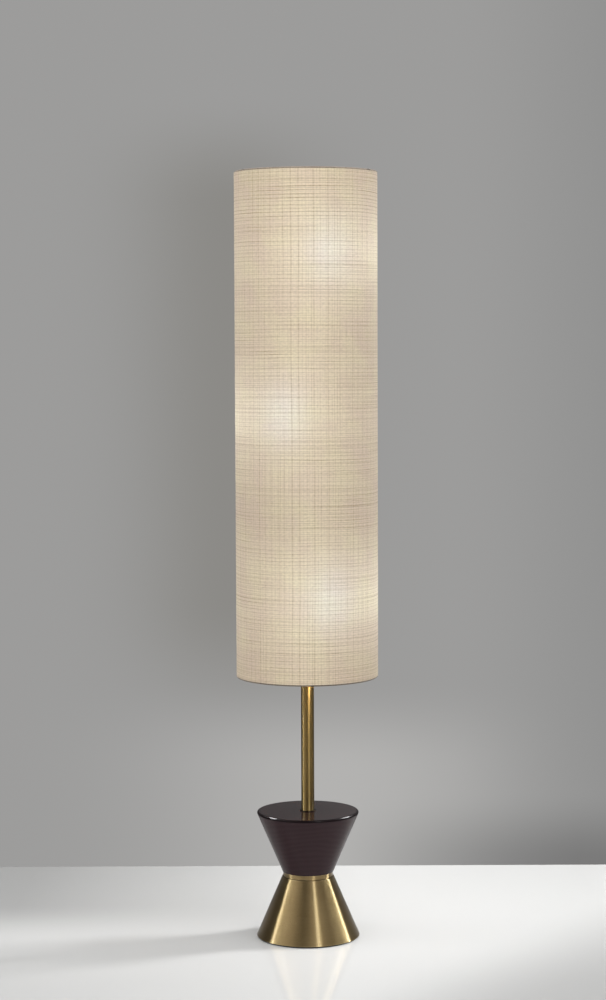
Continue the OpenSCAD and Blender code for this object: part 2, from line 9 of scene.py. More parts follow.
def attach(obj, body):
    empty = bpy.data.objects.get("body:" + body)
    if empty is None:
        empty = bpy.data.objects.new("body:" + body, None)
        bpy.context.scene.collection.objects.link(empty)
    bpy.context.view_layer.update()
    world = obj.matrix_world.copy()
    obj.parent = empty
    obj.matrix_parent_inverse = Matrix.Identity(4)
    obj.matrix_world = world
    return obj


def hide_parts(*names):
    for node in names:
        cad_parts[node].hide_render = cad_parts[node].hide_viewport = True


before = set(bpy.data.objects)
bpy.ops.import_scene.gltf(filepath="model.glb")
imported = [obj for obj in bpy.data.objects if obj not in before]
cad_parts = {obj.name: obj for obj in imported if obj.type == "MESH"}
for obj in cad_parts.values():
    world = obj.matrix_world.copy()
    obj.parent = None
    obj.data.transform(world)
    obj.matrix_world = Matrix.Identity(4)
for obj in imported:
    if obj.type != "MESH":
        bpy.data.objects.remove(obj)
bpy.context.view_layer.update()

scene = bpy.context.scene
scene.view_settings.view_transform = "Standard"
mm = 0.001
levels = ["lower", "middle", "upper"]
sides = [1, -1, 1]   # where each level's bulb stands: 1 is the right
black = (0, 0, 0, 1)

cameraView = {
    "lens": 83.32,       # for a 36 mm frame height
    "distance": 4.466,   # in front of the lamp's axis
    "height": 1.171,
    "sideways": -0.0072,
    "pitchDown": 4.046,  # degrees
    "roll": -0.22,       # degrees
}


def newObject(name, data):
    thing = bpy.data.objects.new(name, data)
    scene.collection.objects.link(thing)
    return thing


def addCamera(view):
    camera = newObject("camera", bpy.data.cameras.new("camera"))
    camera.data.lens = view["lens"]
    camera.data.sensor_width = 36
    camera.data.clip_end = 40
    place = Matrix.Translation((view["sideways"], -view["distance"], view["height"]))
    aim = Matrix.Rotation(math.radians(90 - view["pitchDown"]), 4, "X")
    camera.matrix_world = place @ aim @ Matrix.Rotation(math.radians(view["roll"]), 4, "Z")
    scene.camera = camera


addCamera(cameraView)
print("camera is set")


class Wire:
    # a node's output: a + b, a * b and so on put Math nodes into its tree
    def __init__(self, socket):
        self.socket = socket

    def __add__(self, other):
        return calc("ADD", self, other)

    def __sub__(self, other):
        return calc("SUBTRACT", self, other)

    def __rsub__(self, other):
        return calc("SUBTRACT", other, self)

    def __mul__(self, other):
        return calc("MULTIPLY", self, other)

    def __truediv__(self, other):
        return calc("DIVIDE", self, other)


def plugIn(socket, value):
    # a value is a number, a colour, a vector or another node's output
    if isinstance(value, Wire):
        socket.id_data.links.new(value.socket, socket)
    else:
        socket.default_value = value


def plugAll(node, values):
    # by the inputs' names without their blanks: baseColor goes into "Base Color"
    for socket in node.inputs:
        key = socket.name[:1].lower() + socket.name[1:].replace(" ", "")
        if key in values:
            plugIn(socket, values[key])


def put(tree, kind, inputs=None, **settings):
    node = tree.nodes.new(kind)
    place = len(tree.nodes) - 1
    node.location = (place % 9 * 190, -(place // 9) * 260)   # rows of nine
    for key, value in settings.items():
        setattr(node, key, value)
    for key, value in (inputs or {}).items():
        plugIn(node.inputs[key], value)
    return node


def fromNode(tree, kind, inputs=None, output=0, **settings):
    return Wire(put(tree, kind, inputs, **settings).outputs[output])


def treeOf(*values):
    return next(value.socket.id_data for value in values if isinstance(value, Wire))


def calc(operation, *values, clamp=False):
    return fromNode(treeOf(*values), "ShaderNodeMath", dict(enumerate(values)), operation=operation,
                    use_clamp=clamp)


def vectorCalc(operation, *values):
    return fromNode(treeOf(*values), "ShaderNodeVectorMath", dict(enumerate(values)),
                    "Value" if operation == "LENGTH" else "Vector", operation=operation)


def scaled(value, factor):
    return fromNode(treeOf(value, factor), "ShaderNodeVectorMath", {0: value, "Scale": factor},
                    operation="SCALE")


def xyz(x=0.0, y=0.0, z=0.0):
    return fromNode(treeOf(x, y, z), "ShaderNodeCombineXYZ", {0: x, 1: y, 2: z})


def split(value):
    return [Wire(part) for part in put(treeOf(value), "ShaderNodeSeparateXYZ", {0: value}).outputs]


def spread(value, low, high, newLow=0.0, newHigh=1.0, soft=False):
    # low to high becomes newLow to newHigh, and nothing goes past them
    return fromNode(treeOf(value), "ShaderNodeMapRange", {
        "Value": value, "From Min": low, "From Max": high, "To Min": newLow, "To Max": newHigh},
        interpolation_type="SMOOTHSTEP" if soft else "LINEAR")


def bell(value, middle, width):
    # 1 at the middle, falling to 0.37 one width away
    away = (value - middle) / width
    return calc("EXPONENT", away * away * -1.0)


def noise(place, size, detail=2.0, rough=0.5, output="Fac"):
    return fromNode(treeOf(place), "ShaderNodeTexNoise", {
        "Vector": place, "Scale": size, "Detail": detail, "Roughness": rough}, output)


def blend(factor, first, second):
    return fromNode(treeOf(factor), "ShaderNodeMix", {0: factor, 6: first, 7: second}, 2, data_type="RGBA")


number, colour, vector = "NodeSocketFloat", "NodeSocketColor", "NodeSocketVector"
shape, finish = "NodeSocketGeometry", "NodeSocketMaterial"


def newTree(name, kind, inputs, outputs):
    # each socket is given by its kind, or by a starting value that tells the kind
    tree = bpy.data.node_groups.new(name, kind)
    for way, sockets in (("INPUT", inputs), ("OUTPUT", outputs)):
        for label, value in sockets.items():
            socketType = value
            if not isinstance(value, str):
                ofLength = {3: vector, 4: colour}
                socketType = {int: "NodeSocketInt", float: number}.get(type(value)) or ofLength[len(value)]
            socket = tree.interface.new_socket(name=label, in_out=way, socket_type=socketType)
            if socketType is not value:
                socket.default_value = value
    given = {socket.name: Wire(socket) for socket in put(tree, "NodeGroupInput").outputs}
    return tree, given, put(tree, "NodeGroupOutput")


def giveOut(result, **wires):
    for label, wire in wires.items():
        plugIn(result.inputs[label], wire)


def placeGroup(tree, group, **values):
    node = put(tree, "ShaderNodeGroup", node_tree=group)
    plugAll(node, values)
    return {socket.name: Wire(socket) for socket in node.outputs}


def makeBrushGroup():
    # fine scratches along u of a UV map in metres
    group, given, result = newTree("brushLines", "ShaderNodeTree", {
        "Surface": vector, "Lines": 2200.0, "Length": 9.0}, {"Line": number, "Height": number})
    surface, lines, length = given["Surface"], given["Lines"], given["Length"]
    fine = noise(vectorCalc("MULTIPLY", surface, xyz(length, lines, 1.0)), 1.0, 3.0, 0.65)
    coarse = noise(vectorCalc("MULTIPLY", surface, xyz(length * 2.0, lines * 0.12, 1.0)), 1.0, 2.0, 0.6)
    giveOut(result, Line=spread(fine * 0.6 + coarse * 0.4, 0.3, 0.7), Height=fine)
    return group


def makeWearGroup():
    # where handling and cleaning have reached: along turned edges, and in loose patches
    group, given, result = newTree("wear", "ShaderNodeTree", {
        "Place": vector, "Edge": 0.0, "Patch Size": 40.0, "Amount": 0.5},
        {"Worn": number, "Patch": number, "Speck": number})
    patches = noise(given["Place"], given["Patch Size"], 5.0, 0.6)
    specks = noise(given["Place"], given["Patch Size"] * 22.0)
    giveOut(result, Worn=given["Edge"] * spread(patches, 0.3, 0.6) * given["Amount"],
            Patch=spread(patches, 0.35, 0.68), Speck=spread(specks, 0.6, 0.74))
    return group


def makeGrainGroup():
    # long grain along the Place's own x, with pores and year rings
    group, given, result = newTree("woodGrain", "ShaderNodeTree", {
        "Place": vector, "Fibres": 420.0, "Rings": 26.0},
        {"Grain": number, "Pore": number, "Cloud": number, "Height": number})
    drawn = fromNode(group, "ShaderNodeMapping", {"Vector": given["Place"], "Scale": (0.12, 1.0, 1.0)})
    bent = vectorCalc("ADD", drawn, scaled(noise(drawn, 9.0, output="Color"), 0.05))
    rings = fromNode(group, "ShaderNodeTexWave", {
        "Vector": bent, "Scale": given["Rings"], "Distortion": 2.5, "Detail": 3.0, "Detail Scale": 1.5},
        "Fac", bands_direction="Z")
    fibres = noise(drawn, given["Fibres"], 4.0, 0.7)
    pore = spread(fibres, 0.56, 0.7)
    giveOut(result, Grain=calc("ADD", rings * 0.3, fibres * 0.7, clamp=True), Pore=pore,
            Cloud=spread(noise(drawn, 24.0, 3.0), 0.3, 0.7), Height=pore * -1.0)
    return group


def makeSpeckleGroup():
    # the fine skin of cast, moulded and plated surfaces
    group, given, result = newTree("speckle", "ShaderNodeTree", {
        "Place": vector, "Size": 900.0, "Mottle": 30.0}, {"Fine": number, "Broad": number, "Height": number})
    fine = noise(given["Place"], given["Size"], 3.0, 0.6)
    broad = noise(given["Place"], given["Mottle"], 4.0, 0.55)
    cells = fromNode(group, "ShaderNodeTexVoronoi", {"Vector": given["Place"], "Scale": given["Size"]},
                     "Distance")
    giveOut(result, Fine=spread(fine, 0.3, 0.7), Broad=spread(broad, 0.3, 0.7), Height=fine - cells * 0.4)
    return group


weave = {
    "weftPitch": 0.0019, "warpPitch": 0.0024,   # of the fine yarns
    "wander": 0.0012,                           # how far a yarn strays
    # dark yarns: pitch, width, seed, how weak one may be, how fast it fades along, strength
    "darkWeft": [(0.0068, 0.00125, 5.0, 0.5, 6.0, 1.0), (0.0041, 0.00105, 91.0, 0.2, 6.0, 0.7)],
    "darkWarp": [(0.0136, 0.00125, 43.0, 0.5, 4.0, 1.0), (0.0056, 0.00105, 17.0, 0.2, 6.0, 0.7)],
    "dyeLoss": (0.88, 1.0, 1.22),               # a dark yarn takes more of the blue than of the red
}


def yarnRows(across, pitch, wander):
    # a set of parallel yarns: the round section of one, and which it is
    row = (across + wander) / pitch
    return calc("SINE", calc("FRACT", row) * math.pi), calc("FLOOR", row)


def darkYarns(kinds, along, across, wander):
    # thin dark yarns a pitch apart, never quite evenly, that come and go along their length
    strongest = None
    for pitch, width, seed, weakest, fade, strength in kinds:
        row = (across + wander) / pitch
        count = calc("FLOOR", row)
        chance = split(fromNode(treeOf(row), "ShaderNodeTexWhiteNoise", {"W": count + seed}, "Color",
                                noise_dimensions="1D"))
        away = calc("ABSOLUTE", calc("FRACT", row) - spread(chance[0], 0.0, 1.0, 0.36, 0.64)) * pitch
        streak = spread(noise(xyz(along * fade, count * 3.71, seed), 1.0), 0.36, 0.62, 0.4, 1.0)
        presence = spread(chance[1], 0.0, 1.0, weakest, 1.0) * streak
        line = spread(away, width, width * 0.25, soft=True) * presence * strength
        strongest = calc("MAXIMUM", strongest, line) if strongest else line
    return strongest


def makeWeaveGroup(weave):
    # a plain weave of uneven yarns on a UV map in metres: u round the shade, v up it
    group, given, result = newTree("wovenYarns", "ShaderNodeTree", {
        "Surface": vector, "Weft Pitch": weave["weftPitch"], "Warp Pitch": weave["warpPitch"],
        "Weft Depth": 0.4, "Warp Depth": 0.3, "Fine Depth": 0.12},
        {"Tint": colour, "Height": number, "Hue": number})
    surface = given["Surface"]
    u, v = split(surface)[:2]
    tilt = split(noise(surface, 6.0, 1.0, output="Color"))
    weftWander, warpWander = [spread(t, 0.25, 0.75, -weave["wander"], weave["wander"]) for t in tilt[:2]]
    weftRound, weftCount = yarnRows(v, given["Weft Pitch"], weftWander)
    warpRound, warpCount = yarnRows(u, given["Warp Pitch"], warpWander)
    # the two sets take turns to show: where one is tight the other is slack
    zone = spread(noise(vectorCalc("MULTIPLY", surface, (7.0, 10.0, 1.0)), 1.0), 0.36, 0.64)
    weftLoss = darkYarns(weave["darkWeft"], u, v, weftWander) * given["Weft Depth"]
    warpLoss = darkYarns(weave["darkWarp"], v, u, warpWander) * given["Warp Depth"]
    loss = weftLoss * spread(zone, 0.0, 1.0, 0.75, 1.2) + warpLoss * spread(zone, 0.0, 1.0, 1.2, 0.75)
    # over and under
    over = calc("FLOORED_MODULO", weftCount + warpCount, 2.0)
    weftTop = weftRound * spread(warpRound, 0.0, 1.0, 0.55, 1.0)
    warpTop = warpRound * spread(weftRound, 0.0, 1.0, 0.55, 1.0)
    height = fromNode(group, "ShaderNodeMix", {0: over, 2: weftTop, 3: warpTop}, data_type="FLOAT")
    # short pale and dark lengths of single yarns
    beads = noise(vectorCalc("MULTIPLY", surface, (170.0, 330.0, 1.0)), 1.0)
    fine = (height - 0.6 + spread(beads, 0.3, 0.7, -0.5, 0.5)) * given["Fine Depth"]
    kept = vectorCalc("SUBTRACT", (1, 1, 1), scaled(weave["dyeLoss"], loss))
    tint = vectorCalc("ADD", kept, xyz(fine, fine, fine))
    giveOut(result, Tint=vectorCalc("MAXIMUM", tint, (0.2, 0.2, 0.2)),
            Height=height - loss * 0.5 + noise(surface, 2600.0) * 0.35,
            Hue=spread(noise(surface, 17.0, 3.0) + loss * 0.3, 0.36, 0.66))
    return group


glow = {
    "shadeRadius": 0.1375,
    "bulbReach": 0.042,                     # from the axis
    "bulbHeights": [0.6765, 1.0245, 1.3305],
    "bulbStrengths": [1.15, 0.95, 1.0],
    "far": (0.045, 0.023, 0.016, 1.0),      # light that comes from everywhere inside
    "front": (0.175, 0.163, 0.125, 1.0),    # what the cloth's front and back show more of than its sides
    "near": (0.172, 0.169, 0.140, 1.0),     # what each bulb adds by its distance
    "spot": (0.052, 0.096, 0.156, 1.0),     # the pale patch right in front of a bulb
    "spotWidth": 0.045, "spotHeight": 0.060,
    # the middle socket's painted shadow on the cloth below it: share, place and size in x and z
    "shadow": 0.17, "shadowPlace": (-0.055, 0.835), "shadowSize": (0.085, 0.075),
}


def makeGlowGroup(glow):
    # how much light of three bulbs comes through the cloth, from where the point lies
    group, given, result = newTree("bulbGlow", "ShaderNodeTree", {
        "Place": vector, "Far Light": glow["far"], "Front Light": glow["front"], "Near Light": glow["near"],
        "Spot Light": glow["spot"]}, {"Light": colour})
    x, y, z = split(given["Place"])
    radius = glow["shadeRadius"]
    reach = calc("SQRT", x * x + y * y)
    total, spots = 0.0, 0.0
    for side, height, strength in zip(sides, glow["bulbHeights"], glow["bulbStrengths"]):
        bulbX = side * glow["bulbReach"]
        distance = vectorCalc("LENGTH", xyz(bulbX - x, y * -1.0, height - z))
        facing = radius - x * bulbX / reach
        total = facing * radius ** 2 / calc("POWER", distance, 3.0) * strength + total
        spots = bell(x, bulbX, glow["spotWidth"]) * bell(z, height, glow["spotHeight"]) + spots
    frontness = calc("POWER", calc("ABSOLUTE", y / reach), 6.0)
    light = given["Far Light"]
    for label, share in (("Front Light", frontness), ("Near Light", total), ("Spot Light", spots)):
        light = vectorCalc("ADD", light, scaled(given[label], share))
    shadowX, shadowZ = [bell(value, middle, width) for value, middle, width
                        in zip((x, z), glow["shadowPlace"], glow["shadowSize"])]
    giveOut(result, Light=scaled(light, 1.0 - shadowX * shadowZ * glow["shadow"]))
    return group


brushGroup = makeBrushGroup()
wearGroup = makeWearGroup()
grainGroup = makeGrainGroup()
speckleGroup = makeSpeckleGroup()
weaveGroup = makeWeaveGroup(weave)
glowGroup = makeGlowGroup(glow)
print("shared effects are made")


def newMaterial(name):
    material = bpy.data.materials.new(name)
    material.use_nodes = True
    tree = material.node_tree
    tree.nodes.clear()
    shader = put(tree, "ShaderNodeBsdfPrincipled")
    put(tree, "ShaderNodeOutputMaterial", {0: Wire(shader.outputs[0])})
    return material, tree, shader


def bumpOf(height, strength, depth=0.0002):
    return fromNode(treeOf(height), "ShaderNodeBump", {
        "Height": height, "Strength": strength, "Distance": depth})


def ownPlace(tree):
    return fromNode(tree, "ShaderNodeTexCoord", output="Object")


def surfaceMap(tree):
    return fromNode(tree, "ShaderNodeUVMap", uv_map="surface")


def turnedEdge(tree):
    # 1 on a piece's rounded corners and 0 elsewhere
    return fromNode(tree, "ShaderNodeAttribute", output="Fac", attribute_name="edge")


def speckleOf(tree, size, mottle):
    return placeGroup(tree, speckleGroup, place=ownPlace(tree), size=size, mottle=mottle)


def brushedMetal(name, bright, dark, rough, lines=2200.0, stretch=0.65, wear=0.5, worn=None, patch=18.0,
                 scratch=0.12, lacquer=0.0):
    # turned metal, brushed round its axis: the shine runs up and down
    material, tree, shader = newMaterial(name)
    brush = placeGroup(tree, brushGroup, surface=surfaceMap(tree), lines=lines)
    use = placeGroup(tree, wearGroup, place=ownPlace(tree), edge=turnedEdge(tree), patchSize=patch,
                     amount=wear)
    base = blend(calc("ADD", brush["Line"] * 0.45, use["Patch"] * 0.55, clamp=True), dark, bright)
    base = blend(use["Worn"], base, worn or bright)
    base = blend(use["Speck"] * 0.25, base, tuple(c * 0.45 for c in dark[:3]) + (1,))
    roughness = spread(brush["Line"], 0.0, 1.0, rough - 0.02, rough + 0.02) + use["Patch"] * 0.02
    tangent = fromNode(tree, "ShaderNodeTangent", direction_type="UV_MAP", uv_map="surface")
    plugAll(shader, dict(baseColor=base, metallic=1.0, roughness=roughness, anisotropic=stretch,
                         anisotropicRotation=0.25, tangent=tangent, coatWeight=lacquer, coatRoughness=0.1,
                         normal=bumpOf(brush["Height"], scratch)))
    return material


def speckled(name, first, second, roughness, size, mottle, fineShare, bump, **others):
    material, tree, shader = newMaterial(name)
    skin = speckleOf(tree, size, mottle)
    tone = calc("ADD", skin["Fine"] * fineShare, skin["Broad"] * (1 - fineShare), clamp=True)
    plugAll(shader, dict(others, baseColor=blend(tone, first, second),
                         roughness=spread(skin["Broad"], 0.0, 1.0, *roughness),
                         normal=bumpOf(skin["Height"], bump)))
    return material


def platedMetal(name, bright, dark, rough, bump=0.15):
    # plain plated or rolled metal, on pieces with no UV map
    return speckled(name, dark, bright, (rough - 0.05, rough + 0.08), 1500.0, 70.0, 0.4, bump, metallic=1.0)


def mouldedPlastic(name, first, second, rough, coat=0.0):
    return speckled(name, first, second, (rough - 0.05, rough + 0.07), 1200.0, 45.0, 0.35, 0.1,
                    coatWeight=coat)


def castIron(name):
    material, tree, shader = newMaterial(name)
    skin = speckleOf(tree, 420.0, 24.0)
    rust = skin["Broad"] * skin["Fine"]
    plugAll(shader, dict(baseColor=blend(rust, (0.045, 0.045, 0.05, 1), (0.13, 0.085, 0.055, 1)),
                         metallic=spread(rust, 0.0, 1.0, 0.85, 0.3),
                         roughness=spread(skin["Fine"], 0.0, 1.0, 0.5, 0.75),
                         normal=bumpOf(skin["Height"], 0.6, 0.0006)))
    return material


woodTones = {
    "dark": (0.020, 0.0085, 0.0110, 1), "light": (0.037, 0.0160, 0.0185, 1),
    "cloud": (0.030, 0.0145, 0.0175, 1), "pore": (0.010, 0.005, 0.006, 1),
    # edge: painted shade that darkens the rounded top edge
    "worn": (0.070, 0.034, 0.028, 1), "edge": (0.0045, 0.0022, 0.0028, 1),
    "topStart": 0.2440, "topEnd": 0.2466,   # where the thicker lacquer of the flat top starts and is full
}


def walnut(name, tones):
    # dark stained wood under satin lacquer, with its grain across the lamp
    material, tree, shader = newMaterial(name)
    place, edge = ownPlace(tree), turnedEdge(tree)
    turn = fromNode(tree, "ShaderNodeMapping", {"Vector": place, "Location": (0.3, 0.11, 0.07),
                                                "Rotation": (0.12, 0.05, 0.04)})
    wood = placeGroup(tree, grainGroup, place=turn, fibres=520.0, rings=34.0)
    use = placeGroup(tree, wearGroup, place=place, edge=edge, patchSize=30.0, amount=0.04)
    base = blend(wood["Grain"], tones["dark"], tones["light"])
    # grain clouds, pores and wear, then painted shade darkening the rounded edge
    for share, tone in ((wood["Cloud"] * 0.35, "cloud"), (wood["Pore"] * 0.4, "pore"), (use["Worn"], "worn"),
                        (edge * 0.85, "edge")):
        base = blend(share, base, tones[tone])
    # the lacquer is thickest on the flat top
    lacquer = spread(split(place)[2], tones["topStart"], tones["topEnd"], 0.29, 0.85, soft=True)
    roughness = spread(wood["Pore"] + use["Patch"] * 0.4, 0.0, 1.4, 0.3, 0.44)
    plugAll(shader, dict(baseColor=base, roughness=roughness, specularIORLevel=0.02,
                         coatWeight=lacquer * spread(edge, 0.0, 1.0, 1.0, 0.4),
                         coatRoughness=0.06, normal=bumpOf(wood["Height"], 0.08, 0.0003)))
    return material


def rubber(name):
    material, tree, shader = newMaterial(name)
    skin = speckleOf(tree, 700.0, 20.0)
    rings = fromNode(tree, "ShaderNodeTexWave", {"Vector": ownPlace(tree), "Scale": 55.0, "Distortion": 0.2},
                     "Fac", wave_type="RINGS", rings_direction="Z")
    dusty = skin["Broad"] * skin["Fine"]
    plugAll(shader, dict(baseColor=blend(dusty, (0.018, 0.018, 0.018, 1), (0.075, 0.072, 0.068, 1)),
                         roughness=spread(skin["Fine"], 0.0, 1.0, 0.7, 0.9),
                         normal=bumpOf(skin["Height"] + rings * 1.5, 0.5, 0.0005)))
    return material


fabricTones = {"light": (0.530, 0.453, 0.310, 1), "warm": (0.500, 0.397, 0.304, 1)}
# the hems' tones are a darker copy of the fabric's: painted shade where the cloth rolls over the wire
shadedHemTones = {"light": (0.235, 0.195, 0.15, 1), "warm": (0.20, 0.16, 0.125, 1)}


def wovenFabric(name, tones, glowShare=1.0, weft=0.38, warp=0.27, fine=0.15):
    # the shade's fabric: its own colour in daylight, and what the bulbs send through it
    material, tree, shader = newMaterial(name)
    yarn = placeGroup(tree, weaveGroup, surface=surfaceMap(tree), weftDepth=weft, warpDepth=warp,
                      fineDepth=fine)
    base = vectorCalc("MULTIPLY", blend(yarn["Hue"], tones["light"], tones["warm"]), yarn["Tint"])
    plugAll(shader, dict(baseColor=base, roughness=0.88, sheenWeight=0.1, sheenRoughness=0.5,
                         normal=bumpOf(yarn["Height"], 0.35, 0.0004)))
    if glowShare:
        light = placeGroup(tree, glowGroup, place=ownPlace(tree))["Light"]
        through = scaled(vectorCalc("MULTIPLY", light, yarn["Tint"]), glowShare)
        plugAll(shader, dict(emissionColor=through, emissionStrength=1.0))
    return material


def shadeLiner(name):
    material, tree, shader = newMaterial(name)
    skin = speckleOf(tree, 500.0, 16.0)
    plugAll(shader, dict(baseColor=blend(skin["Broad"], (0.70, 0.64, 0.53, 1), (0.77, 0.72, 0.61, 1)),
                         roughness=spread(skin["Fine"], 0.0, 1.0, 0.45, 0.6),
                         normal=bumpOf(skin["Height"], 0.1)))
    return material


def frostedGlobe(name):
    # lit opal glass, a little dimmer towards its foot
    material, tree, shader = newMaterial(name)
    skin = speckleOf(tree, 800.0, 26.0)
    lit = blend(skin["Broad"], (0.52, 0.43, 0.30, 1), (0.54, 0.46, 0.34, 1))
    lit = scaled(lit, spread(split(surfaceMap(tree))[1], 0.0, 0.05, 0.45, 1.0, soft=True))
    plugAll(shader, dict(baseColor=blend(skin["Fine"], (0.42, 0.40, 0.37, 1), (0.48, 0.46, 0.43, 1)),
                         roughness=spread(skin["Fine"], 0.0, 1.0, 0.35, 0.5), emissionColor=lit,
                         emissionStrength=1.0, normal=bumpOf(skin["Height"], 0.06)))
    return material


wornBrass = (0.62, 0.48, 0.26, 1)
antiqueBrass = brushedMetal("antiqueBrass", (0.345, 0.25, 0.118, 1), (0.255, 0.178, 0.08, 1), 0.32,
                            stretch=1.0, worn=wornBrass, scratch=0.08, lacquer=0.2)
poleBrass = brushedMetal("poleBrass", (0.37, 0.258, 0.10, 1), (0.31, 0.208, 0.075, 1), 0.44, lines=2600.0,
                         stretch=1.0, worn=wornBrass, scratch=0.01, lacquer=0.2)
# the foot washer's dark bronze, darkened further as painted shadow at the pole's foot
darkBronze = brushedMetal("darkBronze", (0.062, 0.044, 0.030, 1), (0.028, 0.020, 0.014, 1), 0.42, wear=0.2,
                          worn=(0.16, 0.11, 0.07, 1))
shellBrass = brushedMetal("shellBrass", (0.86, 0.70, 0.42, 1), (0.66, 0.50, 0.26, 1), 0.22, patch=60.0)
capAluminium = brushedMetal("capAluminium", (0.80, 0.80, 0.79, 1), (0.58, 0.58, 0.57, 1), 0.26, patch=60.0)
wireSteel = brushedMetal("wireSteel", (0.66, 0.66, 0.65, 1), (0.46, 0.45, 0.43, 1), 0.3, lines=900.0,
                         patch=50.0)
zincSteel = platedMetal("zincSteel", (0.66, 0.66, 0.63, 1), (0.46, 0.45, 0.42, 1), 0.34)
plateSteel = platedMetal("plateSteel", (0.30, 0.30, 0.31, 1), (0.20, 0.20, 0.21, 1), 0.45, bump=0.25)
blackIron = castIron("castIron")
darkWood = walnut("darkWood", woodTones)
padRubber = rubber("padRubber")
phenolic = mouldedPlastic("blackPhenolic", (0.014, 0.013, 0.012, 1), (0.034, 0.031, 0.028, 1), 0.32, coat=0.2)
leadPlastic = mouldedPlastic("leadPlastic", (0.64, 0.59, 0.49, 1), (0.72, 0.68, 0.58, 1), 0.42)
splicePlastic = mouldedPlastic("splicePlastic", (0.50, 0.20, 0.07, 1), (0.62, 0.28, 0.12, 1), 0.38)
bulbPlastic = mouldedPlastic("bulbPlastic", (0.80, 0.79, 0.75, 1), (0.88, 0.87, 0.84, 1), 0.3, coat=0.15)
linerPlastic = shadeLiner("linerPlastic")
bulbGlass = frostedGlobe("bulbGlass")
shadeFabric = wovenFabric("shadeFabric", fabricTones)
# the hems in painted shade, with no glow
hemFabric = wovenFabric("hemFabric", shadedHemTones, glowShare=0.0)
slubYarn = wovenFabric("slubYarn", fabricTones, glowShare=0.7, weft=0.1, warp=0.1)
print("materials are made")


def arc(x, y, radius, first, last, steps):
    angles = [first + (last - first) * k / steps for k in range(steps + 1)]
    return [(x + radius * math.cos(angle), y + radius * math.sin(angle)) for angle in angles]


def groove(radius, z):
    # a shallow turned groove in an outline
    bottom = radius - 0.5
    return [(radius, z, 0.2), (bottom, z + 0.5, 0.1), (bottom, z + 1.3, 0.1), (radius, z + 1.8, 0.2)]


def rounded(outline, closed):
    # turns (r, z, rounding) corners into arcs, and tells how near each point is to one
    points = []
    guardLength, arcStep = 1.4, 14   # millimetres of plain wall kept beside an arc, and degrees
    for i, corner in enumerate(outline):
        here = Vector(corner[:2])
        size = corner[2] if len(corner) > 2 else 0
        if not size or (not closed and i in (0, len(outline) - 1)):
            points.append((here.x, here.y, 0.0))
            continue
        back = Vector(outline[i - 1][:2]) - here
        ahead = Vector(outline[(i + 1) % len(outline)][:2]) - here
        half = back.angle(ahead) / 2
        reach = min(size / math.tan(half), 0.45 * back.length, 0.45 * ahead.length)
        size = reach * math.tan(half)
        guards = [here + way.normalized() * (reach + min(guardLength, 0.45 * (way.length - reach)))
                  for way in (back, ahead)]
        middle = here + (back.normalized() + ahead.normalized()).normalized() * size / math.sin(half)
        start, end = here + back.normalized() * reach - middle, here + ahead.normalized() * reach - middle
        steps = max(3, math.ceil(math.degrees(math.pi - 2 * half) / arcStep))
        points.append((guards[0].x, guards[0].y, 0.0))
        for k in range(steps + 1):
            spot = middle + start.slerp(end, k / steps) * size   # slerp gives length 1
            points.append((spot.x, spot.y, 1.0))
        points.append((guards[1].x, guards[1].y, 0.0))
    return points


def turned(name, outline, closed=False, steps=128, span=None, sharp=35):
    # turns an outline of (r, z) round the z axis; an open one starts and ends on the axis
    points = rounded(outline, closed)
    first, last = span or (0.0, 2 * math.pi)
    columns = steps + 1 if span else steps
    angles = [first + (last - first) * k / steps for k in range(steps + 1)]
    widest = max(p[0] for p in points)
    travelled = [0.0]
    for a, b in zip(points, points[1:] + points[:1]):
        travelled.append(travelled[-1] + math.hypot(b[0] - a[0], b[1] - a[1]))
    vertices, wear, rows = [], [], []
    for r, z, near in points:
        onAxis = r < 1e-6
        count = 1 if onAxis else columns
        start = len(vertices)
        rows.append([start] * columns if onAxis else list(range(start, start + columns)))
        vertices += [(r * mm * math.cos(angle), r * mm * math.sin(angle), z * mm) for angle in angles[:count]]
        wear += [near] * count
    faces, uvs = [], []
    for i in range(len(points) if closed else len(points) - 1):
        j = (i + 1) % len(points)
        for k in range(steps):
            n = (k + 1) % columns
            kept = []
            for corner in ((rows[i][k], k, i), (rows[i][n], k + 1, i), (rows[j][n], k + 1, i + 1),
                           (rows[j][k], k, i + 1)):
                if corner[0] not in [c[0] for c in kept]:
                    kept.append(corner)
            if len(kept) > 2:
                faces.append([c[0] for c in kept])
                uvs += [(angles[c[1]] * widest * mm, travelled[c[2]] * mm) for c in kept]
    if span and closed:
        for k in (0, columns - 1):
            faces.append([row[k] for row in rows])
            uvs += [(p[0] * mm, p[1] * mm) for p in points]
    return finished(name, vertices, faces, uvs, wear, sharp)


def finished(name, vertices, faces, uvs, wear=None, sharp=35):
    mesh = bpy.data.meshes.new(name)
    mesh.from_pydata(vertices, [], faces)
    layer = mesh.uv_layers.new(name="surface")
    for loop, uv in zip(layer.data, uvs):
        loop.uv = uv
    edge = mesh.attributes.new("edge", "FLOAT", "POINT")
    edge.data.foreach_set("value", wear or [0.0] * len(vertices))
    outward = bmesh.new()
    outward.from_mesh(mesh)
    bmesh.ops.recalc_face_normals(outward, faces=outward.faces[:])
    outward.to_mesh(mesh)
    outward.free()
    return smoothed(name, mesh, sharp)


def smoothed(name, mesh, sharp):
    mesh.shade_smooth()
    mesh.set_sharp_from_angle(angle=math.radians(sharp))
    return newObject(name, mesh)


def moved(piece, offset=(0, 0, 0), turn=None):
    # puts a piece in place in its mesh; offset in millimetres
    matrix = Matrix.Translation(Vector(offset) * mm)
    piece.data.transform(matrix @ turn if turn else matrix)
    return piece


def evaluated(piece):
    return bpy.data.meshes.new_from_object(piece.evaluated_get(bpy.context.evaluated_depsgraph_get()))


def joined(name, pieces):
    whole = bmesh.new()
    for piece in pieces:
        whole.from_mesh(piece.data)
    mesh = bpy.data.meshes.new(name)
    whole.to_mesh(mesh)
    whole.free()
    for piece in pieces:
        old = piece.data
        bpy.data.objects.remove(piece)
        bpy.data.meshes.remove(old)
    return smoothed(name, mesh, 35)


